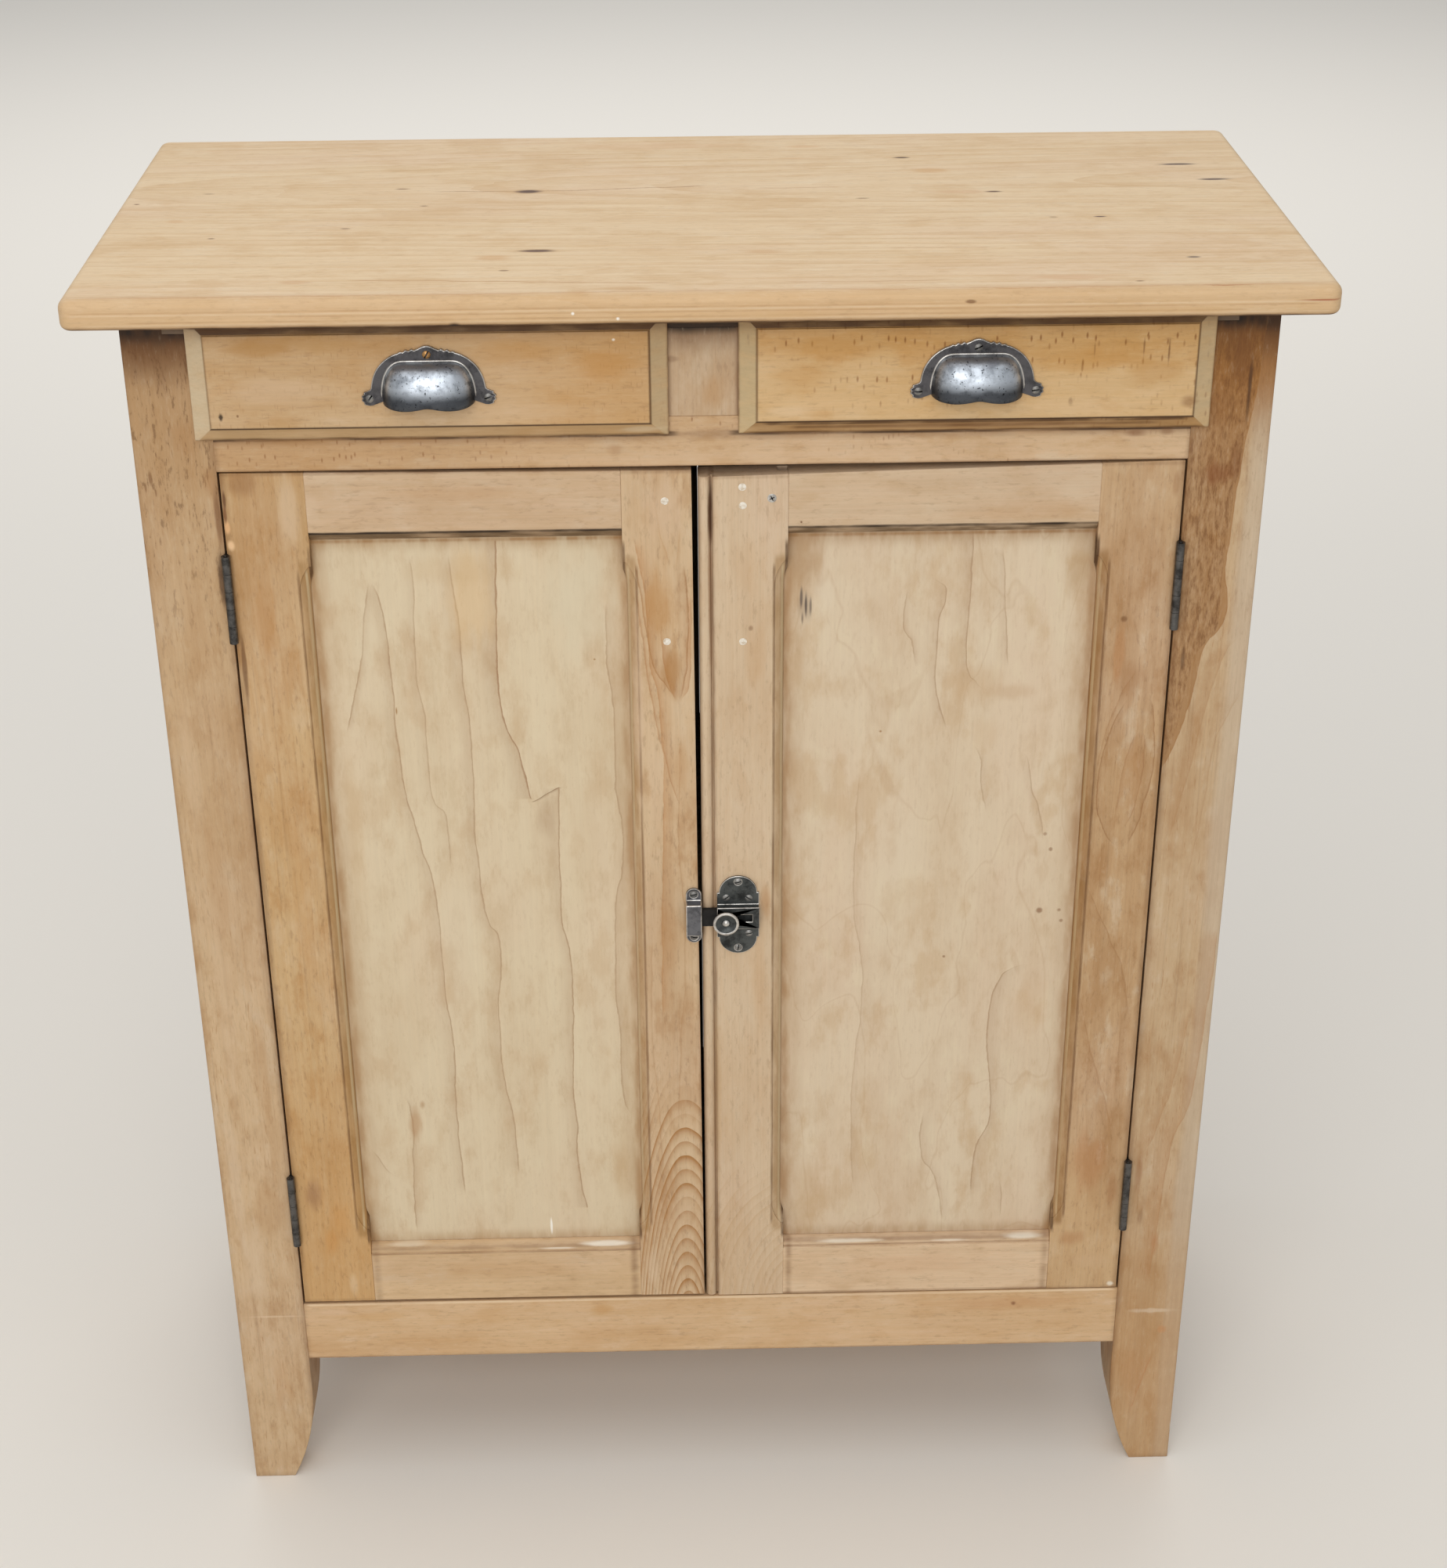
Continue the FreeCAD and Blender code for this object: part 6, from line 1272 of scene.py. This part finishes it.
def knobProfiles(look):
    # stem with flared back, rim as part of a circle, dish, dome
    around = np.radians(np.linspace(-115, 140, 26))
    rim = np.column_stack([look["rimMiddle"][0] + look["rimRound"] * np.cos(around),
                           look["rimMiddle"][1] + look["rimRound"] * np.sin(around)])
    rise = np.linspace(0, math.pi / 2, 12)
    domeRise = look["dish"] + (look["domeTop"] - look["dish"]) * np.sin(rise)
    dome = np.column_stack([look["dome"] * np.cos(rise), domeRise])
    stem, long = look["stem"], look["stemLong"]
    stem = np.array([[0, 0], [stem, 0], [stem, long], [stem + look["flare"][0], long + look["flare"][1]]])
    shoulder = [[look["dome"] + look["shoulder"], look["dish"]]]
    return [np.concatenate([stem, rim[:1]]), rim, np.concatenate([rim[-1:], shoulder, dome[:4]]), dome[3:]]


def buttonProfile(radius, high, sink=0.2):
    # a quarter of an ellipse over a short rim that is sunk in the wood
    rise = np.linspace(0, math.pi / 2, 7)
    crown = np.column_stack([radius * np.cos(rise), high * np.sin(rise)])
    return np.concatenate([[[0, -sink], [radius, -sink]], crown])


low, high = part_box("latch_knob")
knobCentre = ((low.x + high.x) / 2 / mm, high.y / mm, (low.z + high.z) / 2 / mm)
knobShells = [turned(profile, knobCentre) for profile in knobProfiles(knobLook)]
# rim and dome in pale worn iron: wear with a painted highlight
knob = meshPiece("latchKnob", knobShells, latchIron, wornHighlightIron, latchIron, wornHighlightIron)
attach(knob, "latch_slide")
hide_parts("latch_knob")


def slottedHead(look, x, face, z, turn):
    # chords across a disc, raised to a dome and lowered in the slot: two halves and the slot
    out, half = look["round"], look["slot"]
    flank = np.linspace(half, out, 9)
    cuts = [-flank[::-1], np.array([-half, -half + 0.01, half - 0.01, half]), flank]
    shells = []
    for order, u in enumerate(cuts):
        chord = np.sqrt((out ** 2 - u ** 2).clip(0))[:, None]
        v = np.linspace(-1, 1, 13) * chord
        high = look["high"] * (1 - (u[:, None] ** 2 + v ** 2) / out ** 2)
        if order == 1:
            high[1:3] = (high[1:3] - look["deep"]).clip(-0.1)
        upper = np.stack([np.broadcast_to(u[:, None], v.shape), v, high], axis=-1)
        lower = upper[:, ::-1] * np.array([1, 1, 0]) - np.array([0, 0, look["sink"]])
        loop = np.concatenate([upper, lower], axis=1)
        angle = math.radians(turn)
        across = loop[..., 0] * math.sin(angle) + loop[..., 1] * math.cos(angle)
        upward = -loop[..., 0] * math.cos(angle) + loop[..., 1] * math.sin(angle)
        points = np.stack([x + across, face - loop[..., 2], z + upward], axis=-1) * mm
        shells.append((points, gridFaces(len(u), loop.shape[1], wrapColumns=True)))
    return shells


for name, look in screwPlaces.items():
    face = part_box(look["face"])[0].y / mm
    shells, paints = [], []
    for x, z, turn in look["heads"]:
        shells += slottedHead(screwLook, x, face, z, turn)
        head = brassMetal if (x, z) == screwLook["brassAt"] else screwMetal
        # the slot's floor in dark iron: painted shade
        paints += [head, shadeAndRustIron, head]
    heads = meshPiece(name, shells, *paints)
    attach(heads, look["body"])

fillerPaint = NodeSheet("fillerPaint")
speck = fillerPaint.ramp(fillerPaint.noise(fillerPaint.place, detail=3, scale=420), 0.35, 0.7)
fillerTone = fillerPaint.blend(speck, linear(fillerLook["pale"]), linear(fillerLook["worn"]))
fillerPaint.feed(fillerPaint.shader.inputs["Base Color"], fillerTone)
fillerPaint.shader.inputs["Roughness"].default_value = 0.7
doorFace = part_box("left_door_panel")[0].y / mm - fillerLook["panelSink"]
dot = buttonProfile(fillerLook["radius"], fillerLook["high"])
for word in ("left", "right"):
    dots = [turned(dot, (x, doorFace, z), steps=20) for x, z in fillerLook[word]]
    filler = meshPiece(f"{word}DoorFiller", dots, fillerPaint.material)
    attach(filler, f"{word}_door")


def crossArm(look, spot, turn):
    # a thin disc stretched to an ellipse and turned in the door's plane
    low, high = look["armLow"], look["armHigh"]
    points, faces = turned([(0, low), (1, low), (1, high), (0, high)], (0, 0, 0), steps=16)
    wide, tall = points[..., 0] * look["armLong"], points[..., 2] * look["armWide"]
    angle = math.radians(turn)
    x = wide * math.cos(angle) - tall * math.sin(angle)
    z = wide * math.sin(angle) + tall * math.cos(angle)
    return np.stack([x, points[..., 1], z], axis=-1) + np.array(spot) * mm, faces


crossSpot = (crossLook["at"][0], doorFace, crossLook["at"][1])
cross = [turned(buttonProfile(crossLook["radius"], crossLook["high"]), crossSpot, steps=24)]
cross += [crossArm(crossLook, crossSpot, turn) for turn in crossLook["turns"]]
crossHead = meshPiece("crossHeadScrew", cross, wornHighlightIron, shadeAndRustIron, shadeAndRustIron)
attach(crossHead, "right_door")
print("latch knob, screws and filler dots made")


# Floor, light and camera

stageLook = {"colour": (240, 234, 224), "reach": 14.0}


def stageFloor(look):
    # level square, two points each way
    sides = np.array([-look["reach"], look["reach"]])
    x, y = np.meshgrid(sides, sides)
    return np.stack([x, y, np.zeros_like(x)], axis=-1)


stagePaint = NodeSheet("stagePaint")
stagePaint.shader.inputs["Base Color"].default_value = linear(stageLook["colour"])
stagePaint.shader.inputs["Roughness"].default_value = 0.9
meshPiece("floor", [(stageFloor(stageLook), gridFaces(2, 2))], stagePaint.material)

lightLook = {"world": (0.93, 0.96, 1.0), "worldStrength": 0.40}
lamps = {
    "skyLamp": {"at": (-0.2, -0.9, 3.3), "to": (0, 0, 0.6), "size": (3.2, 2.6), "power": 30},
    "frontLamp": {"at": (-0.4, -3.2, 2.1), "to": (0, 0, 0.55), "size": (2.6, 2.0), "power": 50},
    "backLamp": {"at": (0, 4.2, 3.4), "to": (0, 3.6, 0), "size": (6.0, 2.6), "power": 95},
}
world = bpy.data.worlds.new("studio")
bpy.context.scene.world = world
world.use_nodes = True
world.node_tree.nodes["Background"].inputs["Color"].default_value = (*lightLook["world"], 1)
world.node_tree.nodes["Background"].inputs["Strength"].default_value = lightLook["worldStrength"]
for name, look in lamps.items():
    lamp = bpy.data.lights.new(name, "AREA")
    lamp.shape = "RECTANGLE"
    lamp.size, lamp.size_y = look["size"]
    lamp.energy = look["power"]
    holder = bpy.data.objects.new(name, lamp)
    holder.location = look["at"]
    holder.rotation_euler = (Vector(look["to"]) - Vector(look["at"])).to_track_quat("-Z", "Y").to_euler()
    bpy.context.scene.collection.objects.link(holder)

cameraLook = {"at": (-0.0263, -1.939, 1.6385), "pitch": 28.211, "yaw": 1.2751, "roll": 0.3411,
              "focalPixels": 3292.5, "imageHeight": 2003, "sensor": 36}
pitch, yaw, roll = (math.radians(cameraLook[key]) for key in ("pitch", "yaw", "roll"))
ahead = Vector((math.sin(yaw) * math.cos(pitch), math.cos(yaw) * math.cos(pitch), -math.sin(pitch)))
right = Vector((math.cos(yaw), -math.sin(yaw), 0))
down = ahead.cross(right)
rightRolled = math.cos(roll) * right + math.sin(roll) * down
downRolled = math.cos(roll) * down - math.sin(roll) * right
camera = bpy.data.objects.new("camera", bpy.data.cameras.new("camera"))
camera.data.sensor_fit = "VERTICAL"
camera.data.sensor_height = cameraLook["sensor"]
camera.data.lens = cameraLook["focalPixels"] / cameraLook["imageHeight"] * cameraLook["sensor"]
camera.matrix_world = Matrix((rightRolled, -downRolled, -ahead)).transposed().to_4x4()
camera.location = cameraLook["at"]
bpy.context.scene.collection.objects.link(camera)
bpy.context.scene.camera = camera
bpy.context.scene.view_settings.view_transform = "Standard"
print("stage, lights and camera set")
